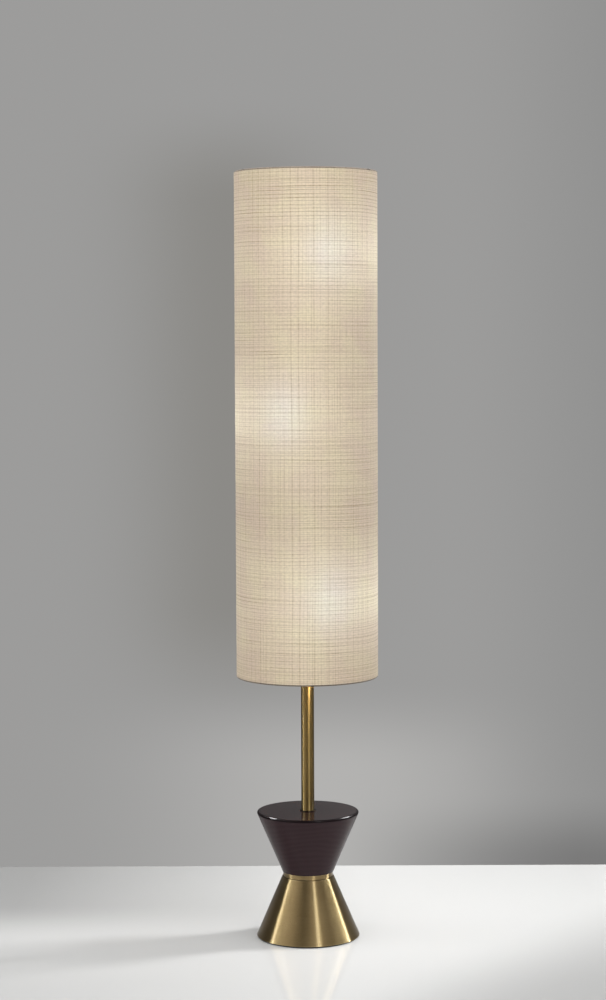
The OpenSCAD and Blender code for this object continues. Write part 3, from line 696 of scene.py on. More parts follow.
def swept(name, path, radius, steps=32):
    # a round bar along a path of points in millimetres, closed at both ends
    path = [Vector(p) for p in path]
    vertices, faces, uvs = [], [], []
    travelled = 0.0
    side = (path[1] - path[0]).normalized().orthogonal().normalized()
    for i, point in enumerate(path):
        ahead = (path[min(i + 1, len(path) - 1)] - path[max(i - 1, 0)]).normalized()
        side = (side - ahead * side.dot(ahead)).normalized()
        other = ahead.cross(side)
        for angle in (2 * math.pi * k / steps for k in range(steps)):
            vertices.append((point + (side * math.cos(angle) + other * math.sin(angle)) * radius) * mm)
        if i:
            start = travelled
            travelled += (path[i] - path[i - 1]).length
            a, b = (i - 1) * steps, i * steps
            for k in range(steps):
                n = (k + 1) % steps
                faces.append([a + k, a + n, b + n, b + k])
                uvs += [(2 * math.pi * radius * step / steps * mm, run * mm)
                        for step, run in ((k, start), (k + 1, start), (k + 1, travelled), (k, travelled))]
    for end in (range(steps), range(len(vertices) - steps, len(vertices))):
        faces.append(list(end))
        uvs += [(0.0, 0.0)] * steps
    return finished(name, vertices, faces, uvs)


def dress(piece, material, body, slot, *replaced):
    piece.data.materials.clear()
    piece.data.materials.append(material)
    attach(piece, body)
    if replaced:
        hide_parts(*replaced)
    return piece


def growTree(name, inputs):
    return newTree(name, "GeometryNodeTree", dict({"Geometry": shape}, **inputs, Material=finish),
                   {"Geometry": shape})


def endTree(tree, made, given, result, smooth=True):
    real = fromNode(tree, "GeometryNodeRealizeInstances", {0: made})
    if smooth:
        real = fromNode(tree, "GeometryNodeSetShadeSmooth", {0: real})
    covered = fromNode(tree, "GeometryNodeSetMaterial", {0: real, "Material": given["Material"]})
    plugIn(result.inputs[0], covered)
    return tree


def grown(name, tree, values):
    # runs a tree and keeps what it makes as a plain mesh
    host = newObject(name, bpy.data.meshes.new(name + "Start"))
    modifier = host.modifiers.new("grow", "NODES")
    modifier.node_group = tree
    for item in tree.interface.items_tree:
        if item.item_type == "SOCKET" and item.in_out == "INPUT" and item.name in values:
            modifier[item.identifier] = values[item.name]
    bpy.context.view_layer.update()
    mesh = evaluated(host)
    mesh.name = name
    host.modifiers.remove(modifier)
    host.data = mesh
    return host


studio = {
    "wallY": 0.597,
    "halfSize": 7.0, "wallHeight": 6.0, "sink": 0.0003,   # the stage lies a hair under the lamp
    "wall": (0.335, 0.332, 0.328, 1),
    # painted shadow band, painted pool of light and painted shade at the wall's foot
    "wallDim": (0.262, 0.256, 0.242, 1),
    "wallPale": (0.450, 0.445, 0.436, 1),
    "wallFoot": (0.195, 0.194, 0.192, 1),
    "wallEnd": (0.268, 0.268, 0.266, 1),
    "wallFar": (0.05, 0.05, 0.05, 1),
    "wallSolid": (0.45, 0.445, 0.44, 1),   # what it gives back to surfaces
    "floor": (0.715, 0.715, 0.707, 1),
    "floorKey": 55.0,             # the light from the right that throws the lamp's shadow on the floor
    "floorKeyPlace": (1.75, 0.53),
    "around": 0.68,               # even light of the room
    "topPower": 62,
    # lights beside and before the lamp: what they give surfaces, and what polished metal shows of them
    "leftSoft": 7.4, "rightSoft": 5.8, "keySoft": 6.5,
    "leftShine": 12.0, "rightShine": 19.0, "keyShine": 15.0, "shineTint": (0.93, 1.0, 1.04),
    "rimLeft": 22.0, "rimRight": 14.0,       # two lights behind, in the gloss of the wooden cone's top edge
    "bulbTint": (1.0, 0.86, 0.66), "bulbPower": 0.9, "bulbSize": 0.028,
    "poleShine": 2.6,                        # the lowest bulb, as the pole's top shows it
    # what polished metal sees of the room: degrees to the right of the camera, half width, level
    "washes": [(-62, 27, 0.88), (24, 22, 0.60), (66, 34, 0.22)],
    "gloom": 0.18,                # and between them
}


def stagePlane(name, corners, makeTones):
    # clear from behind, so that it hides nothing in other views
    mesh = bpy.data.meshes.new(name)
    mesh.from_pydata(corners, [], [[0, 1, 2, 3]])
    plane = newObject(name, mesh)
    material, tree, shader = newMaterial(name + "Paint")
    front = makeTones(tree, shader, fromNode(tree, "ShaderNodeLightPath", output="Is Glossy Ray"))
    clear = fromNode(tree, "ShaderNodeBsdfTransparent")
    back = fromNode(tree, "ShaderNodeNewGeometry", output="Backfacing")
    output = next(node for node in tree.nodes if node.bl_idname == "ShaderNodeOutputMaterial")
    plugIn(output.inputs[0], fromNode(tree, "ShaderNodeMixShader", {0: back, 1: front, 2: clear}))
    mesh.materials.append(material)
    return plane


def floorTones(tree, shader, glossy):
    place = ownPlace(tree)
    x, y, z = split(place)
    # painted light falloff: darker to the left and towards the wall, at the front on the right, and towards
    # the right
    left = spread(x, 0.12, -0.60) * spread(y, -0.04, 0.26, 0.10, 0.45, soft=True)
    front = spread(y, 0.10, -0.44, 0.0, 0.16, soft=True)
    corner = spread(x * 0.9 - y * 0.7, 0.33, 0.68, 0.0, 0.25, soft=True)
    right = spread(x, 0.05, 0.6, 0.0, 0.28)
    # it is painted darker close to the light on the right, outside the picture
    toKey = vectorCalc("LENGTH", vectorCalc("SUBTRACT", place, studio["floorKeyPlace"] + (0.0,)))
    close = spread(toKey, 1.2, 0.35, 0.0, 0.55, soft=True)
    # what shines sees the floor dark where the lights no longer reach it
    outside = glossy * spread(vectorCalc("LENGTH", place), 0.45, 1.3, 0.0, 0.82, soft=True)
    tone = studio["floor"]
    for loss in (left, front, corner, right, close, outside):
        tone = blend(loss, tone, black)
    haze = noise(place, 2.5, 3.0)
    plugAll(shader, dict(baseColor=tone, specularIORLevel=0.5, roughness=spread(haze, 0.3, 0.7, 0.04, 0.06)))
    return Wire(shader.outputs[0])


def wallTones(tree, shader, glossy):
    tree.nodes.remove(shader)
    x, y, z = split(ownPlace(tree))
    # painted shadow: a soft dim band to the left of the shade; painted light: a pale pool low behind the lamp
    band = bell(x, -0.17, 0.20) * (spread(z, 0.28, 0.60, soft=True) * spread(z, 1.70, 1.45, soft=True))
    pool = bell(x, 0.06, 0.36) * spread(z, 0.42, 0.21, soft=True)
    # darker to the right, and painted shade along the wall's foot
    right = spread(x, 0.30, 0.75, soft=True) * 0.75
    foot = spread(z, 0.17, 0.0, soft=True) * spread(x, 0.06, 0.6)
    # outside the picture the light on it falls off
    beyond = spread(calc("ABSOLUTE", x), 0.72, 1.25, 0.0, 0.62, soft=True)
    # what shines sees it darker, most of all on the left
    card = glossy * spread(x, -0.1, 0.35, 0.6, 0.35, soft=True)
    tone = studio["wall"]
    for share, other in ((band, studio["wallDim"]), (pool, studio["wallPale"]), (right, studio["wallEnd"]),
                         (foot, studio["wallFoot"]), (beyond, studio["wallFar"]), (card, black)):
        tone = blend(share, tone, other)
    shown = fromNode(tree, "ShaderNodeEmission", {0: tone, 1: 1.0})
    solid = fromNode(tree, "ShaderNodeBsdfDiffuse", {0: studio["wallSolid"]})
    seen = calc("MAXIMUM", calc("MAXIMUM", *seenRays(tree)), glossy)
    return fromNode(tree, "ShaderNodeMixShader", {0: seen, 1: solid, 2: shown})


def seenRays(tree):
    path = put(tree, "ShaderNodeLightPath").outputs
    return Wire(path["Is Camera Ray"]), Wire(path["Is Transmission Ray"])


def makeRoom(studio):
    # the plain studio room: even light for the surfaces, and soft panels for what shines
    world = bpy.data.worlds.new("studioRoom")
    scene.world = world
    world.use_nodes = True
    tree = world.node_tree
    tree.nodes.clear()
    x, y, z = split(fromNode(tree, "ShaderNodeTexCoord", output="Generated"))
    azimuth = calc("ARCTAN2", x, y * -1.0)
    level = studio["gloom"]
    for degrees, width, strength in studio["washes"]:
        level = bell(azimuth, math.radians(degrees), math.radians(width)) * strength + level

    def background(tone, strength):
        return fromNode(tree, "ShaderNodeBackground", {0: tone, 1: strength})

    plain = background((0.98, 0.99, 1.0, 1), studio["around"])
    panels = background(xyz(level, level * 0.99, level * 0.97), 1.0)
    glossy = fromNode(tree, "ShaderNodeLightPath", output="Is Glossy Ray")
    first = fromNode(tree, "ShaderNodeMixShader", {0: glossy, 1: plain, 2: panels})
    second = fromNode(tree, "ShaderNodeMixShader", {
        0: calc("MAXIMUM", *seenRays(tree)), 1: first, 2: background(studio["wall"], 1.0)})
    put(tree, "ShaderNodeOutputWorld", {0: second})


def addLamp(name, kind, place, power, tint, target=None, **settings):
    lamp = bpy.data.lights.new(name, kind)
    lamp.energy, lamp.color = power, tint
    for key, value in settings.items():
        setattr(lamp, key, value)
    holder = newObject(name, lamp)
    holder.location = place
    holder.visible_camera = False
    if target:
        holder.rotation_euler = (Vector(target) - Vector(place)).to_track_quat("-Z", "Y").to_euler()
    return holder


def addPanel(name, place, target, size, power, diffuse=True, glossy=False, tint=(1, 1, 1)):
    panel = addLamp(name, "AREA", place, power, tint, target, shape="RECTANGLE", size=size[0], size_y=size[1])
    panel.visible_diffuse = diffuse
    panel.visible_glossy = glossy
    return panel


def linkTo(lamps, name, things, state):
    # what the lamps light alone (INCLUDE), or leave out (EXCLUDE)
    group = bpy.data.collections.new(name)
    for thing in things:
        group.objects.link(thing)
    for item in group.collection_objects:
        item.light_linking.link_state = state
    for lamp in lamps:
        lamp.light_linking.receiver_collection = group


half, sink = studio["halfSize"], -studio["sink"]
wallY, wallTop = studio["wallY"], studio["wallHeight"]
floorCorners = [(x, y, sink) for x, y in ((-half, -half), (half, -half), (half, half), (-half, half))]
wallCorners = [(x, wallY, z) for x, z in ((-half, sink), (half, sink), (half, wallTop), (-half, wallTop))]
floor = stagePlane("floor", floorCorners, floorTones)
stagePlane("wall", wallCorners, wallTones)
makeRoom(studio)
floorKey = addPanel("floorKey", studio["floorKeyPlace"] + (1.1,), (0.0, 0.0, 1.1), (0.09, 1.2),
                    studio["floorKey"])
linkTo([floorKey], "onlyFloor", [floor], "INCLUDE")
addPanel("topPanel", (0.15, -0.35, 3.0), (0.0, 0.0, 0.0), (2.4, 2.0), studio["topPower"])
shines = {}
for name, place, target, size in (("left", (-1.55, -0.07, 1.05), (0.0, 0.0, 0.85), (0.09, 2.3)),
                                  ("right", (1.53, 0.34, 1.05), (0.0, 0.0, 0.85), (0.08, 2.3)),
                                  ("key", (1.25, -2.65, 1.1), (0.0, 0.0, 0.5), (0.42, 1.9))):
    behind = Vector(place) * 1.02   # never in one plane with the other, which would hide it
    addPanel(name + "Soft", behind, target, size, studio[name + "Soft"])
    shines[name] = addPanel(name + "Shine", place, target, size, studio[name + "Shine"], False, True,
                            studio["shineTint"])
linkTo(shines.values(), "unlitByPanels", [floor], "EXCLUDE")
poleShine = addLamp("poleShine", "SPOT", (0.034, -0.03, 0.575), studio["poleShine"], studio["bulbTint"],
                    (0.0, -0.0127, 0.525), shadow_soft_size=0.02, spot_size=math.radians(62), spot_blend=1.0)
poleShine.visible_diffuse = False
for level, side, height in zip(levels, sides, glow["bulbHeights"]):
    addLamp("bulbLight." + level, "POINT", (side * glow["bulbReach"], 0, height), studio["bulbPower"],
            studio["bulbTint"], shadow_soft_size=studio["bulbSize"])
print("stage and lights are set")

pad = {"radius": 97.6, "height": 2.5, "dish": 30.0, "dishDepth": 0.4, "groove": 0.5, "slope": 0.6,
       "grooveWidth": 3.0, "innerGroove": 60.0, "outerGroove": 88.0}


def makePad(pad):
    deep, slope, width = pad["groove"], pad["slope"], pad["grooveWidth"]
    inner, outer = [[(start, 0), (start + slope, deep), (start + width - slope, deep), (start + width, 0)]
                    for start in (pad["innerGroove"], pad["outerGroove"])]
    inner[0] += (0.3,)
    top, dished = pad["height"], pad["dishDepth"]
    outline = [(0, dished), (pad["dish"], dished), (pad["dish"] + slope, 0)] + inner + outer
    return turned("pad", outline + [(pad["radius"], 0, 0.7), (pad["radius"], top, 0.3), (0, top)])


dress(makePad(pad), padRubber, "stand", "pad_rubber", "base_pad")

rodHole = 5.5   # round the tie rod, in every piece of the stem
cone = {"rim": 100.6, "waist": 50.5, "foot": pad["height"], "top": 119.0, "wall": 1.6, "cordHole": 6.55,
        "cordHeight": 18.0}
bush = {"bore": 3.5, "radius": 6.5, "flange": 8.5, "flangeThick": 2.0, "length": 12.82, "start": 86.68,
        "groove": 9.2, "grooveDepth": 0.3}
backwards = Matrix.Rotation(math.radians(-90), 4, "X")   # from up to the lamp's back


def makeConeShell(cone):
    # the spun cone, and the hole for the cord's bush at the back
    wall, top = cone["wall"], cone["top"]
    shell = turned("brassCone", [
        (cone["rim"] - wall, cone["foot"], 0.5), (cone["rim"], cone["foot"], 0.6), (cone["waist"], top, 1.1),
        (rodHole, top, 0.3), (rodHole, top - wall, 0.3), (cone["waist"] - wall - 0.6, top - wall, 1.4)],
        closed=True, steps=192)
    cutter = turned("boreCutter", [(0, 0), (cone["cordHole"], 0), (cone["cordHole"], 60), (0, 60)], steps=64)
    moved(cutter, (0, 60, cone["cordHeight"]), backwards)
    cut = shell.modifiers.new("bore", "BOOLEAN")
    cut.operation, cut.object, cut.solver = "DIFFERENCE", cutter, "EXACT"
    bpy.context.view_layer.update()
    mesh = evaluated(shell)
    shell.modifiers.clear()
    shell.data = mesh
    bpy.data.objects.remove(cutter)
    return shell


def makeCordBush(bush):
    r, bore, end, cut = bush["radius"], bush["bore"], bush["length"], bush["groove"]
    flange, thick = bush["flange"], bush["flangeThick"]
    bottom = r - bush["grooveDepth"]
    body = turned("cordBush", [
        (bore, 0, 0.3), (flange, 0, 0.5), (flange, thick, 0.3), (r, thick),
        (r, cut, 0.2), (bottom, cut + 0.4, 0.2), (bottom, cut + 1.0, 0.2), (r, cut + 1.4, 0.2), (r, end, 1.0),
        (bore, end, 1.3)], closed=True, steps=64)
    return moved(body, (0, bush["start"], cone["cordHeight"]), backwards)


dress(makeConeShell(cone), antiqueBrass, "stand", "antique_brass", "base_shell")
dress(makeCordBush(bush), antiqueBrass, "stand", "antique_brass", "cord_gland")

ring = {"outer": 48.5, "inner": 45.5, "low": cone["top"], "high": 128.5, "step": 1.3, "floor": 2.5}
wood = {"foot": 49.9, "top": 100.6, "low": ring["high"], "high": 247.5, "bore": 6.0, "edge": 3.0}
washer = {"radius": 16.0, "low": wood["high"], "high": 249.0}
pole = {"outer": 12.7, "inner": 11.5, "low": washer["high"], "high": 529.5}


def makeWaistRing(ring):
    # a cup that stands on the brass cone, with a small step under its rim
    low, high, outer, inner = ring["low"], ring["high"], ring["outer"], ring["inner"]
    step, bottom = ring["step"], ring["low"] + ring["floor"]
    return turned("waistRing", [
        (rodHole, low), (outer - step, low), (outer - step, low + step), (outer, low + step, 0.3),
        (outer, high, 0.4), (inner, high, 0.3), (inner, bottom, 0.3), (rodHole, bottom)],
        closed=True, steps=160)


dress(makeWaistRing(ring), antiqueBrass, "stand", "antique_brass", "waist_ring")
woodCone = dress(turned("woodCone", [
    (wood["bore"], wood["low"]), (wood["foot"], wood["low"], 0.5), (wood["top"], wood["high"], wood["edge"]),
    (wood["bore"], wood["high"])], closed=True, steps=192), darkWood, "stand", "dark_wood", "wood_cone")
dress(turned("footWasher", [
    (rodHole, washer["low"]), (washer["radius"], washer["low"], 0.2), (washer["radius"], washer["high"], 0.5),
    (rodHole, washer["high"])], closed=True, steps=96), darkBronze, "stand", "dark_bronze", "foot_washer")
poleTube = dress(turned("poleTube", [
    (pole["inner"], pole["low"]), (pole["outer"], pole["low"], 0.25), (pole["outer"], pole["high"], 0.4),
    (pole["inner"], pole["high"])], closed=True), poleBrass, "stand", "pole_brass", "pole")

rims = [addPanel(name, place, (side * 0.07, -0.07, 0.245), (0.25, 0.25), studio[name], False, True)
        for name, place, side in (("rimLeft", (-0.72, 0.43, 1.12), -1), ("rimRight", (0.63, 0.44, 0.91), 1))]
linkTo(rims, "onlyWood", [woodCone], "INCLUDE")
linkTo([shines["right"]], "unlitByRightPanel", [floor, poleTube], "EXCLUDE")
print("base and pole are made")

hub = {"radius": 16.0, "height": 34.0, "heights": [546.5, 894.5, 1200.5], "edge": 1.6, "grooves": 7.5}
tube = {"inner": 5.35, "outer": 6.35, "ends": [(555.5, 885.5), (903.5, 1191.5), (1209.5, 1451.5)]}
arm = {"radius": 5.0, "bend": 15.0, "reach": 42.0, "start": 13.0, "top": 26.0}
halfTurn = Matrix.Rotation(math.pi, 4, "Z")


def makeArm(name, arm):
    # out of the hub and up to the socket
    bend = arc(arm["reach"] - arm["bend"], arm["bend"], arm["bend"], -math.pi / 2, 0, 14)
    path = [(arm["start"], 0, 0)] + [(x, 0, z) for x, z in bend] + [(arm["reach"], 0, arm["top"])]
    return swept(name, path, arm["radius"])


for level, z, (foot, top), side in zip(levels, hub["heights"], tube["ends"], sides):
    low, high, r = z - hub["height"] / 2, z + hub["height"] / 2, hub["radius"]
    outline = [(0, low), (r, low, hub["edge"])] + groove(r, low + hub["grooves"])
    outline += groove(r, high - hub["grooves"] - 1.8) + [(r, high, hub["edge"]), (0, high)]
    dress(turned("hub." + level, outline, steps=96), antiqueBrass, "stand", "antique_brass", "hub_" + level)
    outline = [(tube["inner"], foot), (tube["outer"], foot), (tube["outer"], top), (tube["inner"], top)]
    dress(turned("tube." + level, outline, closed=True, steps=64), antiqueBrass, "stand", "antique_brass",
          "riser_" + level)
    turn = halfTurn if side < 0 else None
    dress(moved(makeArm("arm." + level, arm), (0, 0, z), turn), antiqueBrass, "stand", "antique_brass",
          "arm_" + level)

seat = {"spigot": 5.3, "low": 1439.5, "flange": 19.0, "flangeLow": 1451.5, "flangeHigh": 1454.5}
stud = {"radius": 3.175, "core": 2.75, "pitch": 1.27, "top": 1477.0}


def makeSeat(seat, stud):
    # the flange and the threaded stud above it, turned in one
    foot, top, core, pitch = seat["flangeHigh"], stud["top"], stud["core"], stud["pitch"]
    outline = [(0, seat["low"]), (seat["spigot"], seat["low"], 0.4), (seat["spigot"], seat["flangeLow"]),
               (seat["flange"], seat["flangeLow"], 0.8), (seat["flange"], foot, 0.8), (core + 0.6, foot)]
    for k in range(int((top - foot - 1.5) / pitch)):
        z = foot + 0.4 + k * pitch
        outline += [(core, z), (stud["radius"], z + pitch / 2)]
    return turned("shadeSeat", outline + [(core, top - 0.9), (core - 0.3, top), (0, top)], steps=72)


dress(makeSeat(seat, stud), antiqueBrass, "stand", "antique_brass", "shade_seat")


def makeScrewTree():
    # small slotted set screws, one on each of five places
    places = {"Place " + label: (0, 0, 0) for label in "ABCDE"}
    sizes = {"Radius": 0.002, "Depth": 0.004, "Slot Width": 0.0007}
    tree, given, result = growTree("setScrews", dict(places, **sizes))
    radius, depth = given["Radius"], given["Depth"]
    body = fromNode(tree, "GeometryNodeMeshCylinder", {"Vertices": 24, "Radius": radius, "Depth": depth})
    slot = fromNode(tree, "GeometryNodeMeshCube", {0: xyz(given["Slot Width"], radius * 3.0, depth)})
    slotUp = fromNode(tree, "GeometryNodeTransform", {0: slot, "Translation": xyz(z=depth * 0.8)})
    cut = fromNode(tree, "GeometryNodeMeshBoolean", {0: body, 1: slotUp}, operation="DIFFERENCE",
                   solver="EXACT")
    lying = fromNode(tree, "GeometryNodeTransform", {0: cut, "Rotation": (math.radians(-90), 0, 0)})
    together = put(tree, "GeometryNodeJoinGeometry")
    for label in places:
        placed = fromNode(tree, "GeometryNodeTransform", {0: lying, "Translation": given[label]})
        plugIn(together.inputs[0], placed)
    return endTree(tree, Wire(together.outputs[0]), given, result, smooth=False)


setScrew = {"sink": 1.85, "fromMiddle": 13.0}   # in from the hub's face, and up or down from its middle
screwPlaces = {}
for label, (index, end) in zip("ABCDE", [(0, 1), (1, -1), (1, 1), (2, -1), (2, 1)]):
    height = hub["heights"][index] + end * setScrew["fromMiddle"]
    screwPlaces["Place " + label] = (0, (hub["radius"] - setScrew["sink"]) * mm, height * mm)
dress(grown("hubScrews", makeScrewTree(), dict(screwPlaces, Material=zincSteel)), zincSteel, "stand",
      "zinc_steel", "hub_set_screws")

# sockets and bulbs stand on the arms: their heights are from the bulb's tip
tips = [596.5, 944.5, 1250.5]
socket = {"radius": 18.5, "neck": 15.5, "mouth": 14.0, "rim": 18.1, "foot": -18.0, "top": 24.5, "floor": -2.0,
          "grooves": [-12.0, -7.0, -2.0]}
socketCap = {"hole": 5.1, "foot": -30.0, "footRadius": 9.0, "radius": 18.4, "wall": 1.2}
screwShell = {"radius": 13.62, "swell": 0.13, "wall": 0.28, "low": -2.0, "high": 22.5, "firstTurn": 0.5,
              "turnHeight": 1.75}
bulb = {"cap": 12.3, "tip": 3.2, "shoulder": 25.0, "throat": 14.0, "seam": 66.0, "seamRadius": 26.53,
        "globe": 30.0, "globeMiddle": 80.0, "glass": 1.2}


def makeThreadTree():
    # a round-bottomed screw thread wound on a cap
    tree, given, result = growTree("screwThread", {
        "Radius": 0.0123, "Bead": 0.0008, "Height": 0.0165, "Turns": 4.6, "Place": (0, 0, 0)})
    wind = fromNode(tree, "GeometryNodeCurveSpiral", {
        "Resolution": 48, "Rotations": given["Turns"], "Start Radius": given["Radius"],
        "End Radius": given["Radius"], "Height": given["Height"]})
    section = fromNode(tree, "GeometryNodeCurvePrimitiveCircle", {"Resolution": 12, "Radius": given["Bead"]},
                       mode="RADIUS")
    bead = fromNode(tree, "GeometryNodeCurveToMesh", {0: wind, 1: section, "Fill Caps": True})
    at = fromNode(tree, "GeometryNodeTransform", {0: bead, "Translation": given["Place"]})
    return endTree(tree, at, given, result)


threadTree = makeThreadTree()


def makeSocketCap(name, cap):
    foot, joint, hole, small, r = cap["foot"], socket["foot"], cap["hole"], cap["footRadius"], cap["radius"]
    bottom = foot + cap["wall"]
    return turned(name, [
        (hole, foot, 0.3), (small, foot, 1.2), (r, joint - 0.2, 0.8), (r, joint), (r - 1, joint),
        (small - 0.8, bottom, 0.6), (hole, bottom, 0.2)], closed=True, steps=96)


def makeSocket(name, socket):
    r, neck, rim, mouth = socket["radius"], socket["neck"], socket["rim"], socket["mouth"]
    foot, bottom, top = socket["foot"], socket["floor"], socket["top"]
    outline = [(0, -8.0), (neck, -8.0), (neck, foot, 0.4), (r, foot, 0.6)]
    for z in socket["grooves"]:
        outline += groove(r, z)
    return turned(name, outline + [
        (r, top - 5.0, 0.2), (rim, top - 4.5, 0.1), (rim, top, 0.9), (mouth, top, 0.7), (mouth, bottom, 0.4),
        (0, bottom)], steps=96)


def makeShellWall(part):
    # thin brass pressed into a screw's shape
    widest = part["radius"] + part["swell"]
    outer = [(widest, part["low"])]
    outer += [(part["radius"] + part["swell"] * (-1) ** k, part["firstTurn"] + part["turnHeight"] * k)
              for k in range(13)]
    outer.append((widest, part["high"]))
    inner = [(r - part["wall"], z) for r, z in reversed(outer)]
    return turned("shellWall", outer + inner, closed=True, steps=72, sharp=60)


def makeContact():
    return turned("contactTab", [(0, -0.8), (4.5, -0.8), (4.5, -0.5, 0.15), (1.5, -0.3), (0, -0.3)], steps=40)


def makeBulbCap(name, bulb):
    r, high = bulb["cap"], bulb["shoulder"]
    foot = turned("bulbFoot", [
        (0, 0), (bulb["tip"], 0, 0.8), (4.0, 1.2, 0.5), (4.0, 2.0), (r - 0.7, 5.0, 0.3), (r, 5.6),
        (r, high - 2.0), (r + 0.8, high - 1.6, 0.2), (r + 0.8, high), (0, high)], steps=80)
    thread = grown("bulbThread", threadTree, {
        "Radius": r * mm, "Bead": 0.0008, "Height": 0.0152, "Turns": 4.3, "Place": (0, 0, 0.0068),
        "Material": capAluminium})
    return joined(name, [foot, thread])


def makeHousing(name, bulb):
    throat, low, seam = bulb["throat"], bulb["shoulder"], bulb["seam"]
    flare = [(throat + (bulb["seamRadius"] - throat) * (k / 12) ** 1.4, low + (seam - low) * k / 12)
             for k in range(12)]
    outline = [(0, low), (throat - 0.5, low)] + flare + [(26.3, seam - 0.4), (26.0, seam), (0, seam)]
    return turned(name, outline, steps=80, sharp=50)


def makeGlobe(name, bulb):
    middle, outer, inner = bulb["globeMiddle"], bulb["globe"], bulb["globe"] - bulb["glass"]
    lip = (24.2, bulb["seam"])
    start = -math.asin((middle - bulb["seam"]) / outer)
    outline = [lip, (bulb["seamRadius"], bulb["seam"])] + arc(0, middle, outer, start, math.pi / 2, 28)[1:-1]
    outline += [(0, middle + outer), (0, middle + inner)]
    outline += arc(0, middle, inner, math.pi / 2, start, 16)[1:-1] + [lip]
    return turned(name, outline, steps=96, sharp=60)


shellWalls, contacts = [], []
for level, side, tip in zip(levels, sides, tips):
    def onArm(piece):
        return moved(piece, (side * arm["reach"], 0, tip), halfTurn if side < 0 else None)

    dress(onArm(makeSocketCap("socketCap." + level, socketCap)), shellBrass, "stand", "shell_brass",
          "socket_cap_" + level)
    dress(onArm(makeSocket("socket." + level, socket)), phenolic, "stand", "phenolic", "socket_body_" + level)
    shellWalls.append(onArm(makeShellWall(screwShell)))
    contacts.append(onArm(makeContact()))
    body = "bulb_" + level
    dress(onArm(makeBulbCap("bulbCap." + level, bulb)), capAluminium, body, "cap_aluminium",
          "bulb_cap_" + level)
    dress(onArm(makeHousing("bulbHousing." + level, bulb)), bulbPlastic, body, "bulb_plastic",
          "bulb_housing_" + level)
    globe = dress(onArm(makeGlobe("globe." + level, bulb)), bulbGlass, body, "bulb_glass",
                  "bulb_globe_" + level)
    globe.visible_shadow = False   # the light in it shines through

dress(joined("screwShells", shellWalls), shellBrass, "stand", "shell_brass", "screw_shells")
dress(joined("contactTabs", contacts), shellBrass, "stand", "shell_brass", "centre_contacts")
print("cluster, sockets and bulbs are made")

shade = {
    "radius": 137.5, "fabric": 0.6, "liner": 0.4, "low": 514.6, "high": 1482.9,
    "ring": 134.4, "wire": 2.0, "rollOuter": 3.1, "rollInner": 2.5, "rollTurn": 230,
    "lap": 12.0, "columns": 240, "rows": 60, "notch": 2.6,
}


def makeFabric(shade):
    # one strip of cloth round the shade, lapped over itself at the back
    outer, lap, fabric = shade["radius"], shade["lap"], shade["fabric"]
    length, tall = 2 * math.pi * outer + lap, shade["high"] - shade["low"]
    columns, rows = shade["columns"], shade["rows"]
    vertices, faces, uvs = [], [], []
    for layer in (0, 1):
        for j in range(rows + 1):
            z = shade["low"] + tall * j / rows
            for i in range(columns + 1):
                run = length * i / columns
                angle = math.pi / 2 + 0.02 + run / outer
                lift = max(0.0, min(1.0, (run - length + 2.2 * lap) / lap))
                r = outer + lift * lift * (3 - 2 * lift) * (fabric + 0.1) - layer * fabric
                vertices.append((r * mm * math.cos(angle), r * mm * math.sin(angle), z * mm))

    def add(*corners):
        faces.append([(layer * (rows + 1) + j) * (columns + 1) + i for layer, i, j in corners])
        uvs.extend((length * i / columns * mm, tall * j / rows * mm) for layer, i, j in corners)

    for j in range(rows):
        for i in range(columns):
            add((0, i, j), (0, i + 1, j), (0, i + 1, j + 1), (0, i, j + 1))
            add((1, i, j + 1), (1, i + 1, j + 1), (1, i + 1, j), (1, i, j))
    for i in range(columns):
        add((1, i, 0), (1, i + 1, 0), (0, i + 1, 0), (0, i, 0))
        add((0, i, rows), (0, i + 1, rows), (1, i + 1, rows), (1, i, rows))
    for j in range(rows):
        add((0, 0, j), (0, 0, j + 1), (1, 0, j + 1), (1, 0, j))
        add((1, columns, j), (1, columns, j + 1), (0, columns, j + 1), (0, columns, j))
    return finished("shadeCloth", vertices, faces, uvs)


def makeLiner(shade):
    outer = shade["radius"] - shade["fabric"] - 0.05
    inner = outer - shade["liner"]
    return turned("shadeLiner", [(inner, shade["low"]), (outer, shade["low"]), (outer, shade["high"]),
                                 (inner, shade["high"])], closed=True, steps=192)


def rollOutline(shade, height, way):
    # the fabric's edge in section: from the outer face over the wire and under it
    end = way * math.radians(shade["rollTurn"])
    return (arc(shade["ring"], height, shade["rollOuter"], 0, end, 22)
            + arc(shade["ring"], height, shade["rollInner"], end, 0, 22))


def makeTopHem(shade):
    # three lengths between the notches for the spokes
    notch, third = shade["notch"] / shade["ring"], math.radians(120)
    lengths = []
    for k in range(3):
        start = math.radians(90) + third * k + notch
        lengths.append(turned("hemLength", rollOutline(shade, shade["high"], 1), closed=True, steps=56,
                              span=(start, start + third - 2 * notch), sharp=70))
    return joined("topHem", lengths)


cloth = dress(makeFabric(shade), shadeFabric, "shade", "woven_fabric", "shade_fabric")
dress(makeLiner(shade), linerPlastic, "shade", "liner_plastic", "shade_liner")
topHem = dress(makeTopHem(shade), hemFabric, "shade", "woven_fabric", "hem_top")
bottomHem = dress(turned("bottomHem", rollOutline(shade, shade["low"], -1), closed=True, steps=168, sharp=70),
                  hemFabric, "shade", "woven_fabric", "hem_bottom")
for name, end, node in (("topWire", "high", "top_ring"), ("bottomWire", "low", "bottom_ring")):
    circle = arc(shade["ring"], shade[end], shade["wire"], 0, 2 * math.pi, 20)[:-1]
    dress(turned(name, circle, closed=True, steps=160, sharp=80), wireSteel, "shade", "wire_steel", node)


def barAlong(tree, path, sides, girth):
    # a round bar on a path, as thick as girth says
    section = fromNode(tree, "GeometryNodeCurvePrimitiveCircle", {"Resolution": sides, "Radius": 1.0},
                       mode="RADIUS")
    return fromNode(tree, "GeometryNodeCurveToMesh", {0: path, 1: section, "Scale": girth, "Fill Caps": True})


